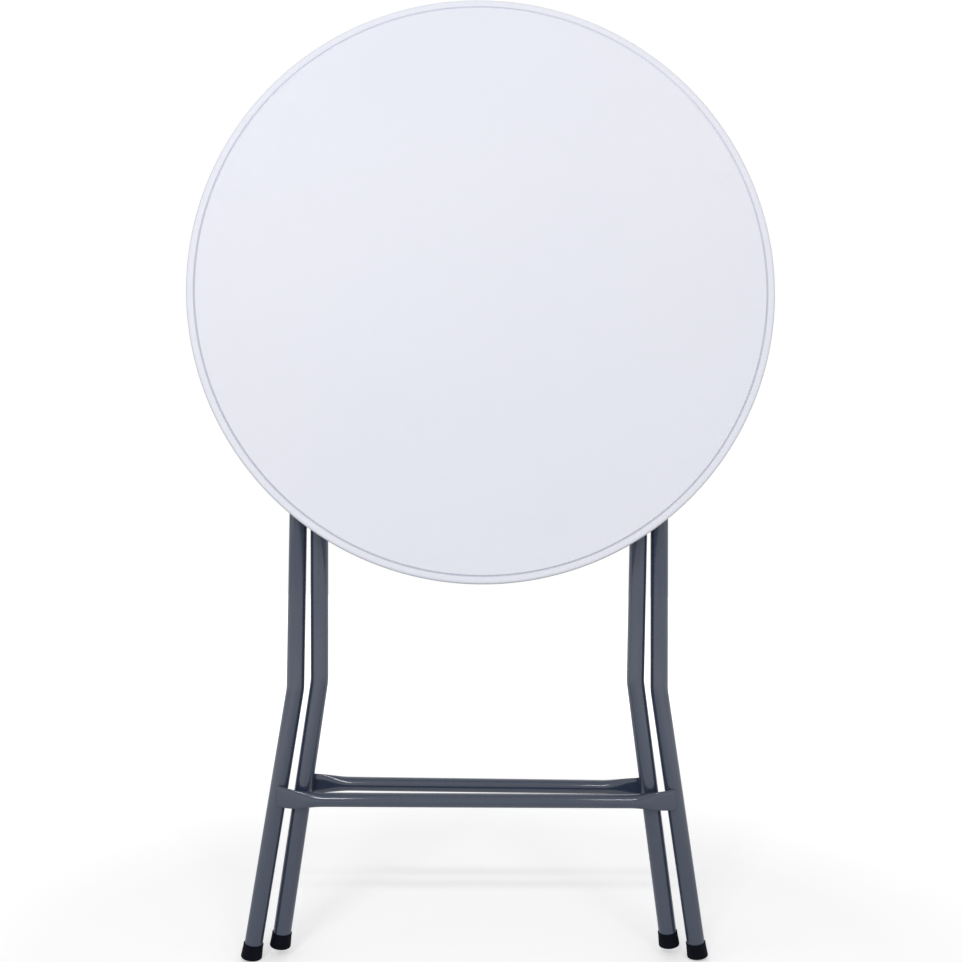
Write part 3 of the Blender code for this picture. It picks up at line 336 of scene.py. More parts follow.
def add_lathe(mesh_data, profile, sides, placing):
    """Turn a profile of (radius, height) that starts and ends on the axis."""
    rings = []
    for radius, height in profile:
        if radius == 0:
            rings.append([mesh_data.verts.new(placing @ Vector((0, 0, height)))])
            continue
        turns = [2 * math.pi * side / sides for side in range(sides)]
        rings.append([mesh_data.verts.new(placing @ Vector((
            radius * math.cos(turn), radius * math.sin(turn), height))) for turn in turns])
    for first, second in zip(rings, rings[1:]):
        for side in range(sides):
            after = (side + 1) % sides
            if len(first) == 1:
                mesh_data.faces.new((first[0], second[side], second[after]))
            elif len(second) == 1:
                mesh_data.faces.new((first[side], second[0], first[after]))
            else:
                mesh_data.faces.new((first[side], second[side], second[after], first[after]))


def add_prism(mesh_data, outline, low, high, placing):
    """Extrude a closed outline from low to high along its third direction."""
    ends = []
    for depth in (low, high):
        ends.append([mesh_data.verts.new(placing @ Vector((a, b, depth))) for a, b in outline])
    mesh_data.faces.new(ends[0][::-1])
    mesh_data.faces.new(ends[1])
    for index in range(len(outline)):
        after = (index + 1) % len(outline)
        mesh_data.faces.new((ends[0][index], ends[0][after], ends[1][after], ends[1][index]))


def add_loft(mesh_data, rings):
    """Skin matching rings of points, and close both ends."""
    made = [[mesh_data.verts.new(point) for point in ring] for ring in rings]
    count = len(made[0])
    for first, second in zip(made, made[1:]):
        for index in range(count):
            after = (index + 1) % count
            mesh_data.faces.new((first[index], first[after], second[after], second[index]))
    mesh_data.faces.new(made[0][::-1])
    mesh_data.faces.new(made[-1])


def place_on(direction, origin=(0, 0, 0)):
    """A placing whose third direction is the one given."""
    along = Vector(direction).normalized()
    side = Vector((1, 0, 0))
    if abs(along.x) > abs(along.z):
        side = Vector((0, 0, 1))
    side = (side - along * side.dot(along)).normalized()
    turned = Matrix((side, along.cross(side), along)).transposed().to_4x4()
    return Matrix.Translation(Vector(origin)) @ turned


def frame_placing(tilt):
    """Placing of a leg frame's own plane, with the scissor pivot at zero."""
    return Matrix.Translation(PIVOT) @ Matrix.Rotation(tilt, 4, "X")


def start_material(name):
    """A new material and its parts."""
    made = bpy.data.materials.new(name)
    made.use_nodes = True
    tree = made.node_tree
    return made, tree, tree.nodes["Principled BSDF"]


def noise(tree, scale, detail=3.0):
    """Noise fixed to the piece, in marks per metre."""
    place = tree.nodes.new("ShaderNodeTexCoord")
    made = tree.nodes.new("ShaderNodeTexNoise")
    made.inputs["Scale"].default_value = scale
    made.inputs["Detail"].default_value = detail
    tree.links.new(place.outputs["Object"], made.inputs["Vector"])
    return made.outputs["Fac"]


def ranged(tree, value, low, high, start=0.3, end=0.7):
    """Spread a noise over a range."""
    made = tree.nodes.new("ShaderNodeMapRange")
    for socket, number in (("From Min", start), ("From Max", end), ("To Min", low),
                           ("To Max", high)):
        made.inputs[socket].default_value = number
    tree.links.new(value, made.inputs["Value"])
    return made.outputs["Result"]


def blended(tree, factor, first, second):
    """A colour between two, each a colour or a node's output."""
    made = tree.nodes.new("ShaderNodeMix")
    made.data_type = "RGBA"
    tree.links.new(factor, made.inputs[0])
    for socket, colour in ((made.inputs[6], first), (made.inputs[7], second)):
        if isinstance(colour, tuple):
            socket.default_value = (*colour, 1.0)
        else:
            tree.links.new(colour, socket)
    return made.outputs[2]


def shaded(colour, factor):
    """A colour made darker or lighter."""
    return tuple(part * factor for part in colour)


def mottled(tree, first, second, scale, detail=3.0, start=0.3, end=0.7, most=1.0):
    """Two colours mixed by a noise, of which only the values from start to end count."""
    share = ranged(tree, noise(tree, scale, detail), 0.0, most, start, end)
    return blended(tree, share, first, second)


def roughen(tree, shader, low, high, scale, detail=3.0):
    """Give the shader a roughness that varies."""
    rough = ranged(tree, noise(tree, scale, detail), low, high)
    tree.links.new(rough, shader.inputs["Roughness"])


def bump(tree, shader, *layers):
    """Stack bumps of (marks per metre, detail, depth in metres) and give them to the shader."""
    below = None
    for scale, detail, depth in layers:
        made = tree.nodes.new("ShaderNodeBump")
        made.inputs["Distance"].default_value = depth
        tree.links.new(noise(tree, scale, detail), made.inputs["Height"])
        if below:
            tree.links.new(below, made.inputs["Normal"])
        below = made.outputs["Normal"]
    tree.links.new(below, shader.inputs["Normal"])


def calculated(tree, operation, *values):
    """The result of a sum on numbers or node outputs."""
    made = tree.nodes.new("ShaderNodeMath")
    made.operation = operation
    for socket, value in zip(made.inputs, values):
        if isinstance(value, (int, float)):
            socket.default_value = value
        else:
            tree.links.new(value, socket)
    return made.outputs[0]


def own_place(tree, kind="Object"):
    """A point's X, Y and Z on the piece, or a direction's in the sky."""
    place = tree.nodes.new("ShaderNodeTexCoord")
    split = tree.nodes.new("ShaderNodeSeparateXYZ")
    tree.links.new(place.outputs[kind], split.inputs["Vector"])
    return split.outputs


def ring_mask(tree, radius, half_width):
    """1 on a circle round the top's centre, falling to 0 beside it."""
    place = own_place(tree)
    height = calculated(tree, "SUBTRACT", place["Z"], TOP_CENTRE.z)
    squares = calculated(tree, "ADD", calculated(tree, "POWER", place["X"], 2),
                         calculated(tree, "POWER", height, 2))
    away = calculated(tree, "SUBTRACT", calculated(tree, "SQRT", squares), radius)
    return ranged(tree, calculated(tree, "ABSOLUTE", away), 1.0, 0.0, 0.0, half_width)


def front_mask(tree, depth):
    """1 on the top's face, falling to 0 at a depth behind it."""
    return ranged(tree, own_place(tree)["Y"], 1.0, 0.0, TOP_LOW.y + depth * 3 / 4,
                  TOP_LOW.y + depth)


def moulded_paint(tree):
    """Cool white, with painted shade along the rim's edge and painted shade in the groove that fades out above the
    top's centre.
    """
    base = mottled(tree, shaded(MOULDED_COLOUR, MOULDED_SHADE), MOULDED_COLOUR, scale=7.0)
    unshaded = mottled(tree, base, MOULDED_WARM, scale=2.2, detail=1.0)
    # Painted shade in the groove, full at and below the top's centre and fading out above it
    groove_shade_by_height = ranged(tree, own_place(tree)["Z"], 1.0, 0.0, TOP_CENTRE.z,
                     TOP_CENTRE.z + GROOVE_SHADE_FADE_HEIGHT)
    groove = calculated(tree, "MULTIPLY", groove_shade_by_height,
                        ring_mask(tree, TOP_RADIUS - GROOVE_INSET, GROOVE_WIDTH / 2))
    groove_shaded = blended(tree, groove, unshaded, shaded(MOULDED_COLOUR, GROOVE_PAINTED_SHADE))
    # Painted shade along the rim's rounded front edge
    rim = calculated(tree, "MULTIPLY", ring_mask(tree, TOP_RADIUS, RIM_PAINTED_SHADE_WIDTH),
                     front_mask(tree, TOP_EDGE_RADIUS))
    return blended(tree, rim, groove_shaded, shaded(MOULDED_COLOUR, RIM_PAINTED_SHADE))


def moulded_white(name, grain):
    """Blow-moulded polyethylene, faintly mottled, with a fine leathery grain."""
    made, tree, shader = start_material(name)
    tree.links.new(moulded_paint(tree), shader.inputs["Base Color"])
    roughen(tree, shader, low=0.42, high=0.52, scale=60.0)
    shader.inputs["Specular IOR Level"].default_value = MOULDED_SPECULAR
    bump(tree, shader, (900.0, 2.0, grain), (35.0, 3.0, 0.00012))
    return made


def powder_coat():
    """Blue-grey powder coat with a light orange peel and paler flecks, under a clear coat."""
    made, tree, shader = start_material("powder_coat")
    dark, light = COAT_SHADES
    base = mottled(tree, shaded(COAT_COLOUR, dark), shaded(COAT_COLOUR, light), scale=9.0)
    flecked = mottled(tree, base, shaded(COAT_COLOUR, COAT_FLECK_SHADE), scale=1500.0,
                      detail=1.0, start=0.55, end=0.75, most=0.35)
    tree.links.new(flecked, shader.inputs["Base Color"])
    roughen(tree, shader, low=0.38, high=0.48, scale=120.0)
    shader.inputs["Specular IOR Level"].default_value = COAT_SPECULAR
    shader.inputs["Coat Weight"].default_value = CLEAR_WEIGHT
    shader.inputs["Coat IOR"].default_value = CLEAR_IOR
    shader.inputs["Coat Roughness"].default_value = CLEAR_ROUGHNESS
    bump(tree, shader, (420.0, 2.0, 0.00008), (1700.0, 1.0, 0.00002))
    return made


def rubber_black():
    """Matt black rubber with flecks of dust."""
    made, tree, shader = start_material("rubber_black")
    dusty = mottled(tree, RUBBER_COLOUR, shaded(RUBBER_COLOUR, RUBBER_DUST_SHADE), scale=260.0,
                    detail=4.0, start=0.5, end=0.8, most=0.5)
    tree.links.new(dusty, shader.inputs["Base Color"])
    roughen(tree, shader, low=0.62, high=0.80, scale=180.0)
    shader.inputs["Specular IOR Level"].default_value = RUBBER_SPECULAR
    bump(tree, shader, (1100.0, 3.0, 0.00008))
    return made


def nylon_black():
    """Black moulded nylon with a spark-eroded texture."""
    made, tree, shader = start_material("nylon_black")
    dark, light = NYLON_SHADES
    base = mottled(tree, shaded(NYLON_COLOUR, dark), shaded(NYLON_COLOUR, light), scale=90.0)
    tree.links.new(base, shader.inputs["Base Color"])
    roughen(tree, shader, low=0.42, high=0.60, scale=400.0)
    bump(tree, shader, (1800.0, 2.0, 0.00005))
    return made


def zinc_steel():
    """Bright zinc plate: a soft spangle, faint blue and straw tints, small handling marks."""
    made, tree, shader = start_material("zinc_steel")
    base = mottled(tree, ZINC_COOL, ZINC_WARM, scale=45.0)
    marked = mottled(tree, base, ZINC_MARK, scale=700.0, detail=5.0, start=0.56, end=0.74,
                     most=0.6)
    tree.links.new(marked, shader.inputs["Base Color"])
    shader.inputs["Metallic"].default_value = 1.0
    roughen(tree, shader, low=0.26, high=0.42, scale=240.0, detail=4.0)
    bump(tree, shader, (1300.0, 3.0, 0.00002))
    return made


WHITE = moulded_white("moulded_white", FACE_GRAIN)
WHITE_UNDER = moulded_white("moulded_white_underside", UNDERSIDE_GRAIN)
COAT = powder_coat()
RUBBER = rubber_black()
NYLON = nylon_black()
ZINC = zinc_steel()


def top_profile():
    """Half section of the top as (radius, distance behind its face)."""
    groove = TOP_RADIUS - GROOVE_INSET
    half = GROOVE_WIDTH / 2
    edge = TOP_EDGE_RADIUS
    rear = TOP_REAR_RADIUS
    foot = TOP_RADIUS - TOP_RIM_DRAFT
    wall = TOP_RADIUS - TOP_RIM_WIDTH
    inside = wall - TOP_RIM_DRAFT
    outline = [(0, 0), (TOP_RADIUS / 2, 0)]
    for step in range(GROOVE_STEPS + 1):
        across = 2 * step / GROOVE_STEPS - 1
        sunk = GROOVE_DEPTH * (1 + math.cos(math.pi * across)) / 2
        outline.append((groove + across * half, sunk))
    outline += arc((TOP_RADIUS - edge, edge), edge, -math.pi / 2, 0, TOP_EDGE_STEPS)
    parting = TOP_RIM_DEPTH * 2 / 3
    there = TOP_RADIUS - TOP_RIM_DRAFT * (parting - edge) / (TOP_RIM_DEPTH - rear - edge)
    outline += [(there, parting - PARTING_WIDTH), (there + PARTING_RIDGE, parting),
                (there, parting + PARTING_WIDTH)]
    for centre, start, end in (((foot - rear, TOP_RIM_DEPTH - rear), 0, math.pi / 2),
                               ((wall + rear, TOP_RIM_DEPTH - rear), math.pi / 2, math.pi),
                               ((inside - rear, TOP_PANEL + rear), 0, -math.pi / 2)):
        outline += arc(centre, rear, start, end, TOP_REAR_STEPS)
    outline += [(TOP_RADIUS / 2, TOP_PANEL), (0, TOP_PANEL)]
    return outline


def pad_height(height):
    """How far a rail's pad stands off the underside at a height above the floor."""
    slope = -SLIDE_AXIS.y / SLIDE_AXIS.z
    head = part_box("slide_rail_left")[1].z
    return PAD_STEP + slope * (head - height)


def add_pads(mesh_data):
    """The two sloping pads that the rails lie on."""
    for node in ("slide_rail_left", "slide_rail_right"):
        low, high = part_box(node)
        top = high.z + PAD_MARGIN
        foot = low.z - PAD_MARGIN
        sunk = -TOP_SKIN / 2
        outline = [(UNDERSIDE + sunk, top), (UNDERSIDE + pad_height(top), top),
                   (UNDERSIDE + pad_height(foot), foot), (UNDERSIDE + sunk, foot)]
        placing = Matrix(((0, 0, 1), (1, 0, 0), (0, 1, 0))).to_4x4()
        add_prism(mesh_data, outline, low.x - PAD_MARGIN, high.x + PAD_MARGIN, placing)


def tack_cutter_profile():
    """Section of one tack-off, with a rounded floor and a rounded mouth."""
    soft = TACK_SOFTNESS
    tip = TOP_SKIN + TACK_TIP_COVER
    profile = [(0, tip)]
    profile += arc((TACK_TIP_RADIUS - soft, tip + soft), soft, -math.pi / 2, 0, TACK_ARC_STEPS)
    profile += arc((TACK_MOUTH_RADIUS + soft, TOP_PANEL - soft), soft, math.pi, TACK_MOUTH_END,
                   TACK_ARC_STEPS)
    profile += [(profile[-1][0], TOP_PANEL + OVERRUN), (0, TOP_PANEL + OVERRUN)]
    return profile


def find_tacks():
    """Centres of the tack-offs, read from the ring of points at each one's tip in the frame."""
    tip = TOP_LOW.y + TOP_SKIN + TACK_TIP_COVER
    points = [vertex.co for vertex in frame["nodes"]["tabletop"].data.vertices
              if abs(vertex.co.y - tip) < FIT_GAP]
    rings = []
    for point in points:
        for ring in rings:
            if (ring[0] - point).length < TACK_TIP_REACH:
                ring.append(point)
                break
        else:
            rings.append([point])
    return [sum(ring, Vector((0, 0, 0))) / len(ring) for ring in rings]


def make_top():
    """Tabletop: moulded shell with groove, rim, tack-offs, rail pads and vent."""
    placing = place_on((0, 1, 0), TOP_CENTRE)
    shell = bmesh.new()
    add_lathe(shell, top_profile(), TOP_SIDES, placing)
    top = new_object("moulded_top", shell, WHITE, WHITE_UNDER)
    pads = bmesh.new()
    add_pads(pads)
    bmesh.ops.bevel(pads, geom=pads.edges[:], offset=PAD_SOFTNESS,
                      segments=ROUNDED_SEGMENTS, affect="EDGES")
    combine(top, pads, "UNION")
    recesses = bmesh.new()
    for centre in find_tacks():
        here = place_on((0, 1, 0), (centre.x, TOP_LOW.y, centre.z))
        add_lathe(recesses, tack_cutter_profile(), TACK_SIDES, here)
    vent = place_on((0, 1, 0), (0, UNDERSIDE, TOP_CENTRE.z - TOP_RADIUS + TOP_RIM_WIDTH
                                + 2 * TACK_EDGE_SPACE))
    add_lathe(recesses, [(0, -VENT_DEPTH), (VENT_RADIUS, -VENT_DEPTH), (VENT_RADIUS, OVERRUN),
                         (0, OVERRUN)], TACK_SIDES, vent)
    combine(top, recesses, "DIFFERENCE")
    for face in top.data.polygons:
        across = math.hypot(face.center.x, face.center.z - TOP_CENTRE.z)
        inside = across < TOP_RADIUS - TOP_RIM_WIDTH and face.center.y > TOP_LOW.y + TOP_SKIN
        face.material_index = 1 if inside else 0
    even_normals(top)
    dress(top, "moulded_white", "tabletop")


def leg_path(half_width, draw_in, flare, lower, upper, corner_radius):
    """Centre line of a frame's tube in its own plane, from foot to foot; the pivot is at zero."""
    half_bend = half_width - draw_in
    half_foot = half_bend + LEG_BEND_HEIGHT * math.tan(flare)
    lift = CAP_FLOOR + FIT_GAP
    foot = (-half_foot + lift * math.sin(flare), -lower + lift * math.cos(flare))
    tangent = LEG_BEND_RADIUS * math.tan(flare / 2)
    bend_centre = (-half_bend - LEG_BEND_RADIUS, -lower + LEG_BEND_HEIGHT + tangent)
    bend = arc(bend_centre, LEG_BEND_RADIUS, -flare, 0, LEG_BEND_STEPS)
    if draw_in:
        bend.append((-half_width, 0))
    corner_centre = (-half_width + corner_radius, upper - corner_radius)
    corner = arc(corner_centre, corner_radius, math.pi, math.pi / 2,
                 round(math.pi / 2 / CORNER_STEP))
    left = [foot] + bend + corner
    return left + [(-across, height) for across, height in reversed(left)]


def path_rings(points, radii, sides, plane):
    """Rings round a path; plane is a direction that the path never runs along."""
    rings = []
    for index, point in enumerate(points):
        before = (point - points[index - 1]).normalized() if index else None
        after = (points[index + 1] - point).normalized() if index + 1 < len(points) else None
        tangent = ((before or after) + (after or before)).normalized()
        side = tangent.cross(plane).normalized()
        other = side.cross(tangent).normalized()
        turns = [2 * math.pi * step / sides for step in range(sides)]
        rings.append([point + side * (radii[index] * math.cos(turn))
                      + other * (radii[index] * math.sin(turn)) for turn in turns])
    return rings


def make_leg_frame(name, node, tilt, half_width, draw_in, flare, lower, upper, corner_radius):
    """One bent tube with a bore through each leg at the pivot."""
    placing = frame_placing(tilt)
    points = [Vector((across, 0, height)) for across, height
              in leg_path(half_width, draw_in, flare, lower, upper, corner_radius)]
    tube = bmesh.new()
    rings = path_rings(points, [LEG_RADIUS] * len(points), LEG_SIDES, Vector((0, 1, 0)))
    add_loft(tube, rings)
    bmesh.ops.transform(tube, matrix=placing, verts=tube.verts)
    piece = new_object(name, tube, COAT)
    bores = bmesh.new()
    bore = BOLT_RADIUS + FIT_GAP
    for side in (-1, 1):
        here = placing @ place_on((1, 0, 0), (side * half_width, 0, 0))
        add_lathe(bores, [(0, -LEG_DIAMETER), (bore, -LEG_DIAMETER), (bore, LEG_DIAMETER),
                          (0, LEG_DIAMETER)], HARDWARE_SIDES, here)
    combine(piece, bores, "DIFFERENCE")
    even_normals(piece)
    dress(piece, "powder_coat", node)


def bar_sections(leg_offset):
    """Stations along half a crossbar, from its tip: (place, flatness, thickness, height)."""
    sections = []
    for step in range(BAR_TIP_STEPS):
        turn = math.pi / 2 * step / BAR_TIP_STEPS
        place = leg_offset - BAR_TIP_LENGTH * (1 - math.cos(turn))
        thick = BAR_TIP_SHARE + (1 - BAR_TIP_SHARE) * math.sin(turn)
        high = 1 - BAR_TIP_SHARE * (1 - math.sin(turn))
        sections.append((place, 1.0, thick, high))
    sections.append((leg_offset - BAR_TIP_LENGTH, 1.0, 1.0, 1.0))
    for step in range(BAR_TAPER_STEPS + 1):
        along = step / BAR_TAPER_STEPS
        blend = (1 + math.cos(math.pi * along)) / 2
        place = leg_offset - BAR_FLAT_LENGTH - BAR_TAPER_LENGTH * along
        sections.append((place, blend, 1.0, 1.0))
    return sections


def end_share(distance, length):
    """1 at a crossbar's tip, falling smoothly to 0 over a length."""
    return max(0, 1 - distance / length) ** 2


def make_crossbar(name, node, tilt, above_foot, lower, half_width, flare, facing, slant, rises):
    """Round tube whose ends are crushed flat, turn up a little and lap onto the legs' faces."""
    height = above_foot - lower
    leg_offset = half_width + (LEG_BEND_HEIGHT - above_foot) * math.tan(flare)
    tip = leg_offset - BAR_TIP_BACK
    behind = facing * BAR_AXIS_OFFSET
    half = bar_sections(tip)
    stations = [(-place, *rest) for place, *rest in half] + half[::-1]
    rings = []
    for place, flat, thick, high in stations:
        depth = (BAR_RADIUS + (BAR_FLAT_THICKNESS / 2 - BAR_RADIUS) * flat) * thick
        from_tip = tip - abs(place)
        spread = BAR_TIP_SPREAD / 2 * end_share(from_tip, BAR_SPREAD_LENGTH)
        reach = (BAR_RADIUS + (BAR_FLAT_HEIGHT / 2 - BAR_RADIUS) * flat + spread) * high
        squareness = 1 - flat / 2
        lift = (rises[0] if place < 0 else rises[1]) * end_share(from_tip, BAR_RISE_LENGTH)
        lift -= place * math.tan(slant)
        ring = []
        for step in range(BAR_SIDES):
            turn = 2 * math.pi * step / BAR_SIDES
            out = math.copysign(abs(math.cos(turn)) ** squareness, math.cos(turn))
            rise = math.copysign(abs(math.sin(turn)) ** squareness, math.sin(turn))
            shift = facing * (1 - thick) * -BAR_FLAT_THICKNESS / 2
            ring.append(Vector((place, behind + shift + depth * out,
                                height + lift + reach * rise)))
        rings.append(ring)
    bar = bmesh.new()
    add_loft(bar, rings)
    bmesh.ops.transform(bar, matrix=frame_placing(tilt), verts=bar.verts)
    piece = new_object(name, bar, COAT)
    dress(piece, "powder_coat", node)
    for side, word, rise_by in ((-1, "left", rises[0]), (1, "right", rises[1])):
        make_weld(name + "_weld_" + word, node, tilt, side * leg_offset, side, behind,
                  height + rise_by - side * leg_offset * math.tan(slant), facing)


def make_weld(name, node, tilt, leg_offset, side, behind, height, facing):
    """A bead round the crushed end, where it meets the leg."""
    high = (BAR_FLAT_HEIGHT + BAR_TIP_SPREAD) / 2 - WELD_RADIUS
    inboard = -side * LEG_RADIUS * WELD_REACH_SHARE
    points = []
    radii = []
    for step in range(WELD_STEPS + 1):
        turn = math.pi * (step / WELD_STEPS - 0.5)
        wide = math.copysign(abs(math.cos(turn)) ** WELD_SQUARENESS, math.cos(turn))
        rise = math.sin(turn)
        across = inboard * (1 - wide) + side * (WELD_RADIUS / 2 - BAR_TIP_BACK) * wide
        surface = math.sqrt(LEG_RADIUS ** 2 - across ** 2)
        points.append(Vector((leg_offset + across, facing * (surface + WELD_RADIUS / 3),
                              height + rise * high)))
        radii.append(WELD_RADIUS * (1 + WELD_RIPPLE_SHARE * math.sin(
            2 * math.pi * step * BAR_FLAT_HEIGHT / WELD_STEPS / WELD_RIPPLE_PITCH)))
    bead = bmesh.new()
    add_loft(bead, path_rings(points, radii, WELD_SIDES, Vector((0, 1, 0))))
    bmesh.ops.transform(bead, matrix=frame_placing(tilt), verts=bead.verts)
    piece = new_object(name, bead, COAT)
    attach(piece, BODY_OF[node])


def make_foot_cap(name, node, tilt, side, half_width, flare, lower):
    """A rubber cup on the end of a leg, with a lip round its mouth."""
    half_foot = half_width + LEG_BEND_HEIGHT * math.tan(flare)
    edge = CAP_EDGE_RADIUS
    neck = CAP_RADIUS - CAP_LIP
    bore = LEG_RADIUS + FIT_GAP
    lip = CAP_LENGTH - CAP_LIP_HEIGHT
    profile = [(0, 0)]
    profile += arc((CAP_RADIUS - edge, edge), edge, -math.pi / 2, 0, CAP_EDGE_STEPS)
    profile += [(neck - CAP_LIP / 4, lip - CAP_LIP), (neck, lip)]
    profile += arc((neck - CAP_LIP / 2, CAP_LENGTH - CAP_LIP / 2), CAP_LIP / 2, 0, math.pi / 2,
                   CAP_LIP_STEPS)
    profile += [(bore, CAP_LENGTH), (bore, CAP_FLOOR), (0, CAP_FLOOR)]
    cup = bmesh.new()
    up = (-side * math.sin(flare), 0, math.cos(flare))
    add_lathe(cup, profile, CAP_SIDES, place_on(up, (side * half_foot, 0, -lower)))
    bmesh.ops.transform(cup, matrix=frame_placing(tilt), verts=cup.verts)
    piece = new_object(name, cup, RUBBER)
    even_normals(piece)
    dress(piece, "rubber_black", node)


def make_bolt(side, word):
    """Carriage bolt with a domed head."""
    node = "pivot_bolt_" + word
    low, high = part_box(node)
    tip = high.x if side < 0 else low.x
    outside = low.x if side < 0 else high.x
    length = abs(tip - outside)
    sphere = (BOLT_HEAD_RADIUS ** 2 + BOLT_HEAD_HEIGHT ** 2) / (2 * BOLT_HEAD_HEIGHT)
    reach = math.asin(BOLT_HEAD_RADIUS / sphere)
    dome = [(sphere * math.sin(reach * step / BOLT_DOME_STEPS),
             sphere * (1 - math.cos(reach * step / BOLT_DOME_STEPS)))
            for step in range(BOLT_DOME_STEPS + 1)]
    profile = dome + [(BOLT_RADIUS, BOLT_HEAD_HEIGHT), (BOLT_RADIUS, length), (0, length)]
    bolt = bmesh.new()
    add_lathe(bolt, profile, HARDWARE_SIDES, place_on((-side, 0, 0), (outside, PIVOT.y, PIVOT.z)))
    piece = new_object("carriage_bolt_" + word, bolt, ZINC)
    even_normals(piece)
    dress(piece, "zinc_steel", node)


def make_cap_nut(side, word):
    """Hexagon nut with a domed cap."""
    node = "pivot_cap_nut_" + word
    low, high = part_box(node)
    seat = low.x if side < 0 else high.x
    tall = high.x - low.x
    placing = place_on((-side, 0, 0), (seat, PIVOT.y, PIVOT.z))
    corner = NUT_FLAT_RADIUS / math.cos(math.pi / 6)
    outline = [(corner * math.cos(math.pi / 3 * step), corner * math.sin(math.pi / 3 * step))
               for step in range(6)]
    nut = bmesh.new()
    add_prism(nut, outline, 0, NUT_HEX_HEIGHT, placing)
    bmesh.ops.bevel(nut, geom=nut.edges[:], offset=NUT_SOFTNESS, segments=ROUNDED_SEGMENTS,
                    affect="EDGES")
    rise = tall - NUT_HEX_HEIGHT
    neck = NUT_FLAT_RADIUS - NUT_SOFTNESS * 2
    dome = [(0, NUT_HEX_HEIGHT / 2), (neck, NUT_HEX_HEIGHT / 2), (neck, NUT_HEX_HEIGHT)]
    for step in range(NUT_DOME_STEPS):
        turn = math.pi / 2 * step / NUT_DOME_STEPS
        dome.append((neck * math.cos(turn), NUT_HEX_HEIGHT + NUT_SOFTNESS
                     + (rise - NUT_SOFTNESS) * math.sin(turn)))
    dome.append((0, tall))
    cap = bmesh.new()
    add_lathe(cap, dome, HARDWARE_SIDES, placing)
    piece = new_object("cap_nut_" + word, nut, ZINC)
    combine(piece, cap, "UNION")
    even_normals(piece)
    dress(piece, "zinc_steel", node)


def screw_mesh():
    """Pan head with a cross recess and the top of its shank; its crown is at zero."""
    profile = []
    for step in range(SCREW_DOME_STEPS + 1):
        turn = math.pi / 2 * step / SCREW_DOME_STEPS
        profile.append((SCREW_HEAD_RADIUS * math.sin(turn),
                        SCREW_HEAD_HEIGHT * (1 - math.cos(turn))))
    profile += [(SCREW_RADIUS, SCREW_HEAD_HEIGHT), (SCREW_RADIUS, SCREW_SHANK),
                (0, SCREW_SHANK)]
    body = bmesh.new()
    add_lathe(body, profile, HARDWARE_SIDES, place_on((0, -1, 0)))
    screw = new_object("screw", body, ZINC)
    cross = bmesh.new()
    long = SCREW_CROSS_LENGTH / 2
    wide = SCREW_CROSS_WIDTH / 2
    outline = [(long, wide), (wide, wide), (wide, long), (-wide, long), (-wide, wide),
               (-long, wide), (-long, -wide), (-wide, -wide), (-wide, -long), (wide, -long),
               (wide, -wide), (long, -wide)]
    add_prism(cross, outline, -OVERRUN, SCREW_CROSS_DEPTH, place_on((0, -1, 0)))
    combine(screw, cross, "DIFFERENCE")
    mesh = screw.data
    bpy.data.objects.remove(screw, do_unlink=True)
    return mesh


def make_screws():
    """One screw for each screw node, each turned a little differently."""
    mesh = screw_mesh()
    for count, node in enumerate(sorted(name for name in frame["nodes"] if "_screw_" in name)):
        low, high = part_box(node)
        piece = bpy.data.objects.new("pan_head_" + node, mesh)
        bpy.context.scene.collection.objects.link(piece)
        piece.location = ((low.x + high.x) / 2, high.y, (low.z + high.z) / 2)
        piece.rotation_euler = (0, SCREW_TURN * count, 0)
        even_normals(piece)
        dress(piece, "zinc_steel", node)


def refine(node, material, slot, softness=EDGE_SOFTNESS):
    """A CAD node's own shape with its flats merged and its edges rounded."""
    data = bmesh.new()
    data.from_mesh(frame["nodes"][node].data)
    bmesh.ops.remove_doubles(data, verts=data.verts, dist=MERGE_DISTANCE)
    bmesh.ops.dissolve_limit(data, angle_limit=FLAT_ANGLE, verts=data.verts, edges=data.edges)
    piece = new_object(node + "_finished", data, material)
    soften_edges(piece, softness)
    even_normals(piece)
    dress(piece, slot, node)


def make_floor():
    """Pale floor that shows white to the camera and keeps the table's shadow."""
    half = FLOOR_SIZE / 2
    sheet = bmesh.new()
    add_prism(sheet, [(-half, -half), (half, -half), (half, half), (-half, half)],
              -FLOOR_THICKNESS, 0, Matrix.Identity(4))
    made, tree, shader = start_material("floor")
    base = mottled(tree, shaded(FLOOR_COLOUR, FLOOR_SHADE), FLOOR_COLOUR, scale=3.0)
    tree.links.new(base, shader.inputs["Base Color"])
    shader.inputs["Roughness"].default_value = FLOOR_ROUGHNESS
    shader.inputs["Specular IOR Level"].default_value = FLOOR_SPECULAR
    shader.inputs["Emission Color"].default_value = (1.0, 1.0, 1.0, 1.0)
    place = tree.nodes.new("ShaderNodeTexCoord")
    reach = tree.nodes.new("ShaderNodeVectorMath")
    reach.operation = "LENGTH"
    tree.links.new(place.outputs["Object"], reach.inputs[0])
    lift = ranged(tree, reach.outputs["Value"], FLOOR_LIFT_NEAR, FLOOR_LIFT_FAR, FLOOR_NEAR,
                  FLOOR_FAR)
    shown = calculated(tree, "MULTIPLY", seen_ray(tree), lift)
    tree.links.new(shown, shader.inputs["Emission Strength"])
    floor = new_object("floor", sheet, made)


def seen_ray(tree):
    """1 for rays from the camera or through gloss and glass, otherwise 0."""
    path = tree.nodes.new("ShaderNodeLightPath")
    seen = calculated(tree, "MAXIMUM", path.outputs["Is Camera Ray"],
                      path.outputs["Is Glossy Ray"])
    return calculated(tree, "MAXIMUM", seen, path.outputs["Is Transmission Ray"])


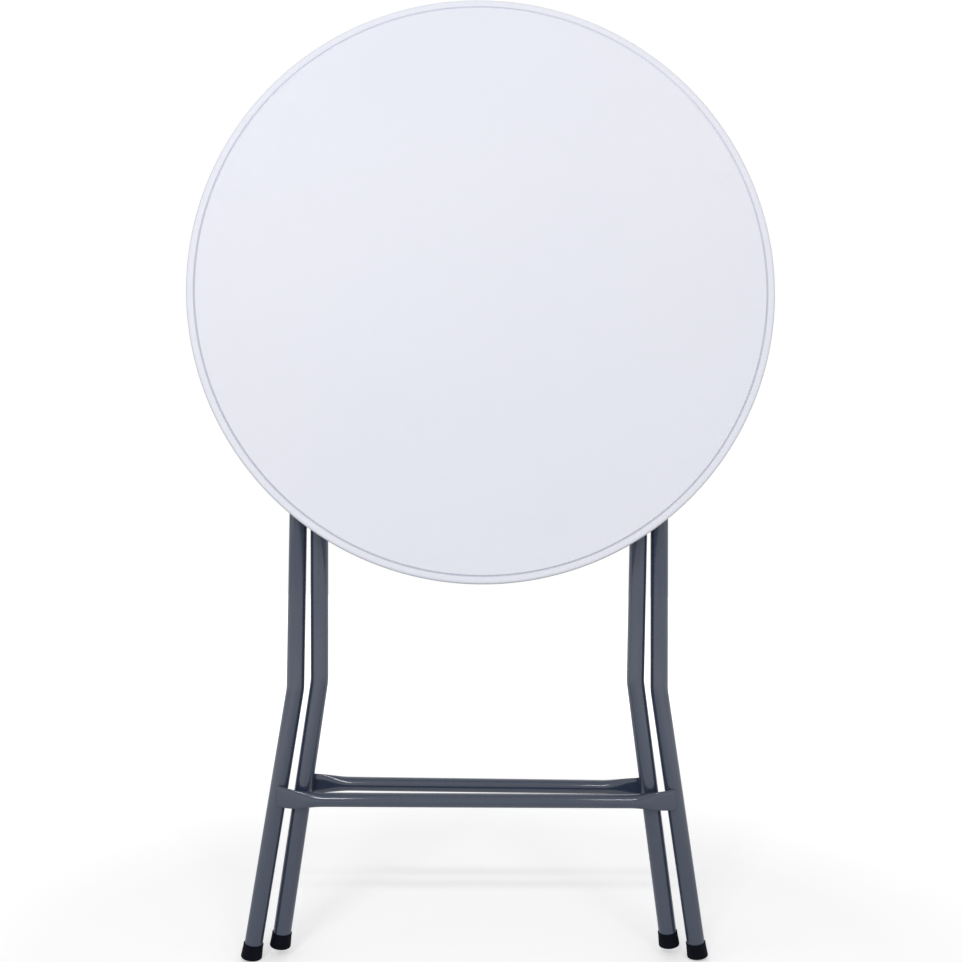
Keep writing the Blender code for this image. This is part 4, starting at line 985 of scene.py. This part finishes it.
def make_world():
    """Soft studio light, weaker from behind the table, seen as white."""
    world = bpy.data.worlds.new("studio")
    bpy.context.scene.world = world
    world.use_nodes = True
    tree = world.node_tree
    tree.nodes.clear()
    lit = ranged(tree, own_place(tree, "Generated")["Y"], AMBIENT_FRONT, AMBIENT_BACK,
                 AMBIENT_FRONT_Y, AMBIENT_BACK_Y)
    strength = tree.nodes.new("ShaderNodeMapRange")
    strength.inputs["To Max"].default_value = 1.0
    tree.links.new(lit, strength.inputs["To Min"])
    tree.links.new(seen_ray(tree), strength.inputs["Value"])
    sky = tree.nodes.new("ShaderNodeBackground")
    sky.inputs["Color"].default_value = (1.0, 1.0, 1.0, 1.0)
    tree.links.new(strength.outputs["Result"], sky.inputs["Strength"])
    out = tree.nodes.new("ShaderNodeOutputWorld")
    tree.links.new(sky.outputs["Background"], out.inputs["Surface"])


def make_lamp(name, place, width, height, power):
    """A softbox that looks at the lamps' target."""
    data = bpy.data.lights.new(name, "AREA")
    data.shape = "RECTANGLE"
    data.size = width
    data.size_y = height
    data.energy = power
    lamp = bpy.data.objects.new(name, data)
    bpy.context.scene.collection.objects.link(lamp)
    lamp.location = place
    aim = Vector(LAMP_TARGET) - Vector(place)
    lamp.rotation_euler = aim.to_track_quat("-Z", "Y").to_euler()


def make_camera():
    """The photograph's camera."""
    data = bpy.data.cameras.new("camera")
    data.sensor_width = SENSOR_WIDTH
    data.lens = SENSOR_WIDTH * FOCAL_PIXELS / IMAGE_PIXELS
    camera = bpy.data.objects.new("camera", data)
    bpy.context.scene.collection.objects.link(camera)
    forward = Vector((-math.sin(CAMERA_YAW) * math.cos(CAMERA_PITCH),
                      math.cos(CAMERA_YAW) * math.cos(CAMERA_PITCH), math.sin(CAMERA_PITCH)))
    level = Vector((math.cos(CAMERA_YAW), math.sin(CAMERA_YAW), 0))
    rise = level.cross(forward)
    right = level * math.cos(CAMERA_ROLL) + rise * math.sin(CAMERA_ROLL)
    up = rise * math.cos(CAMERA_ROLL) - level * math.sin(CAMERA_ROLL)
    turned = Matrix((right, up, -forward)).transposed().to_4x4()
    camera.matrix_world = Matrix.Translation(Vector(CAMERA_PLACE)) @ turned
    bpy.context.scene.camera = camera


def make_studio():
    """Camera, floor, sky and softboxes: two keys high in front, two wings and a rear one."""
    bpy.context.scene.view_settings.view_transform = "Standard"
    make_camera()
    make_floor()
    make_world()
    for lamp in LAMPS:
        make_lamp(*lamp)


def make_table():
    """All the pieces."""
    make_top()
    inner_bend = INNER_HALF_WIDTH - INNER_DRAW_IN
    make_leg_frame("outer_bent_tube", "outer_leg_frame", 0, OUTER_HALF_WIDTH, 0, OUTER_FLARE,
                   OUTER_LOWER, OUTER_UPPER, OUTER_CORNER_RADIUS)
    make_leg_frame("inner_bent_tube", "inner_leg_frame", INNER_TILT, INNER_HALF_WIDTH,
                   INNER_DRAW_IN, INNER_FLARE, INNER_LOWER, INNER_UPPER, INNER_CORNER_RADIUS)
    make_crossbar("outer_bar", "outer_crossbar", 0, OUTER_BAR_HEIGHT, OUTER_LOWER,
                  OUTER_HALF_WIDTH, OUTER_FLARE, -1, OUTER_BAR_SLANT, OUTER_END_RISES)
    make_crossbar("inner_bar", "inner_crossbar", INNER_TILT, INNER_BAR_HEIGHT, INNER_LOWER,
                  inner_bend, INNER_FLARE, 1, INNER_BAR_SLANT, INNER_END_RISES)
    for side, word in ((-1, "left"), (1, "right")):
        make_foot_cap("cap_outer_" + word, "foot_cap_outer_" + word, 0, side, OUTER_HALF_WIDTH,
                      OUTER_FLARE, OUTER_LOWER)
        make_foot_cap("cap_inner_" + word, "foot_cap_inner_" + word, INNER_TILT, side,
                      inner_bend, INNER_FLARE, INNER_LOWER)
        make_bolt(side, word)
        make_cap_nut(side, word)
        refine("pivot_spacer_" + word, NYLON, "nylon_black")
        refine("slide_rail_" + word, ZINC, "zinc_steel", SHEET_SOFTNESS)
        refine("slide_shoe_" + word, NYLON, "nylon_black", SHEET_SOFTNESS)
        refine("tube_cradle_" + word, NYLON, "nylon_black", CRADLE_SOFTNESS)
        refine("keeper_" + word, ZINC, "zinc_steel")
    refine("lock_bracket", ZINC, "zinc_steel", BRACKET_SOFTNESS)
    refine("lock_pin", ZINC, "zinc_steel")
    refine("lock_hook", ZINC, "zinc_steel")
    make_screws()


make_studio()
make_table()
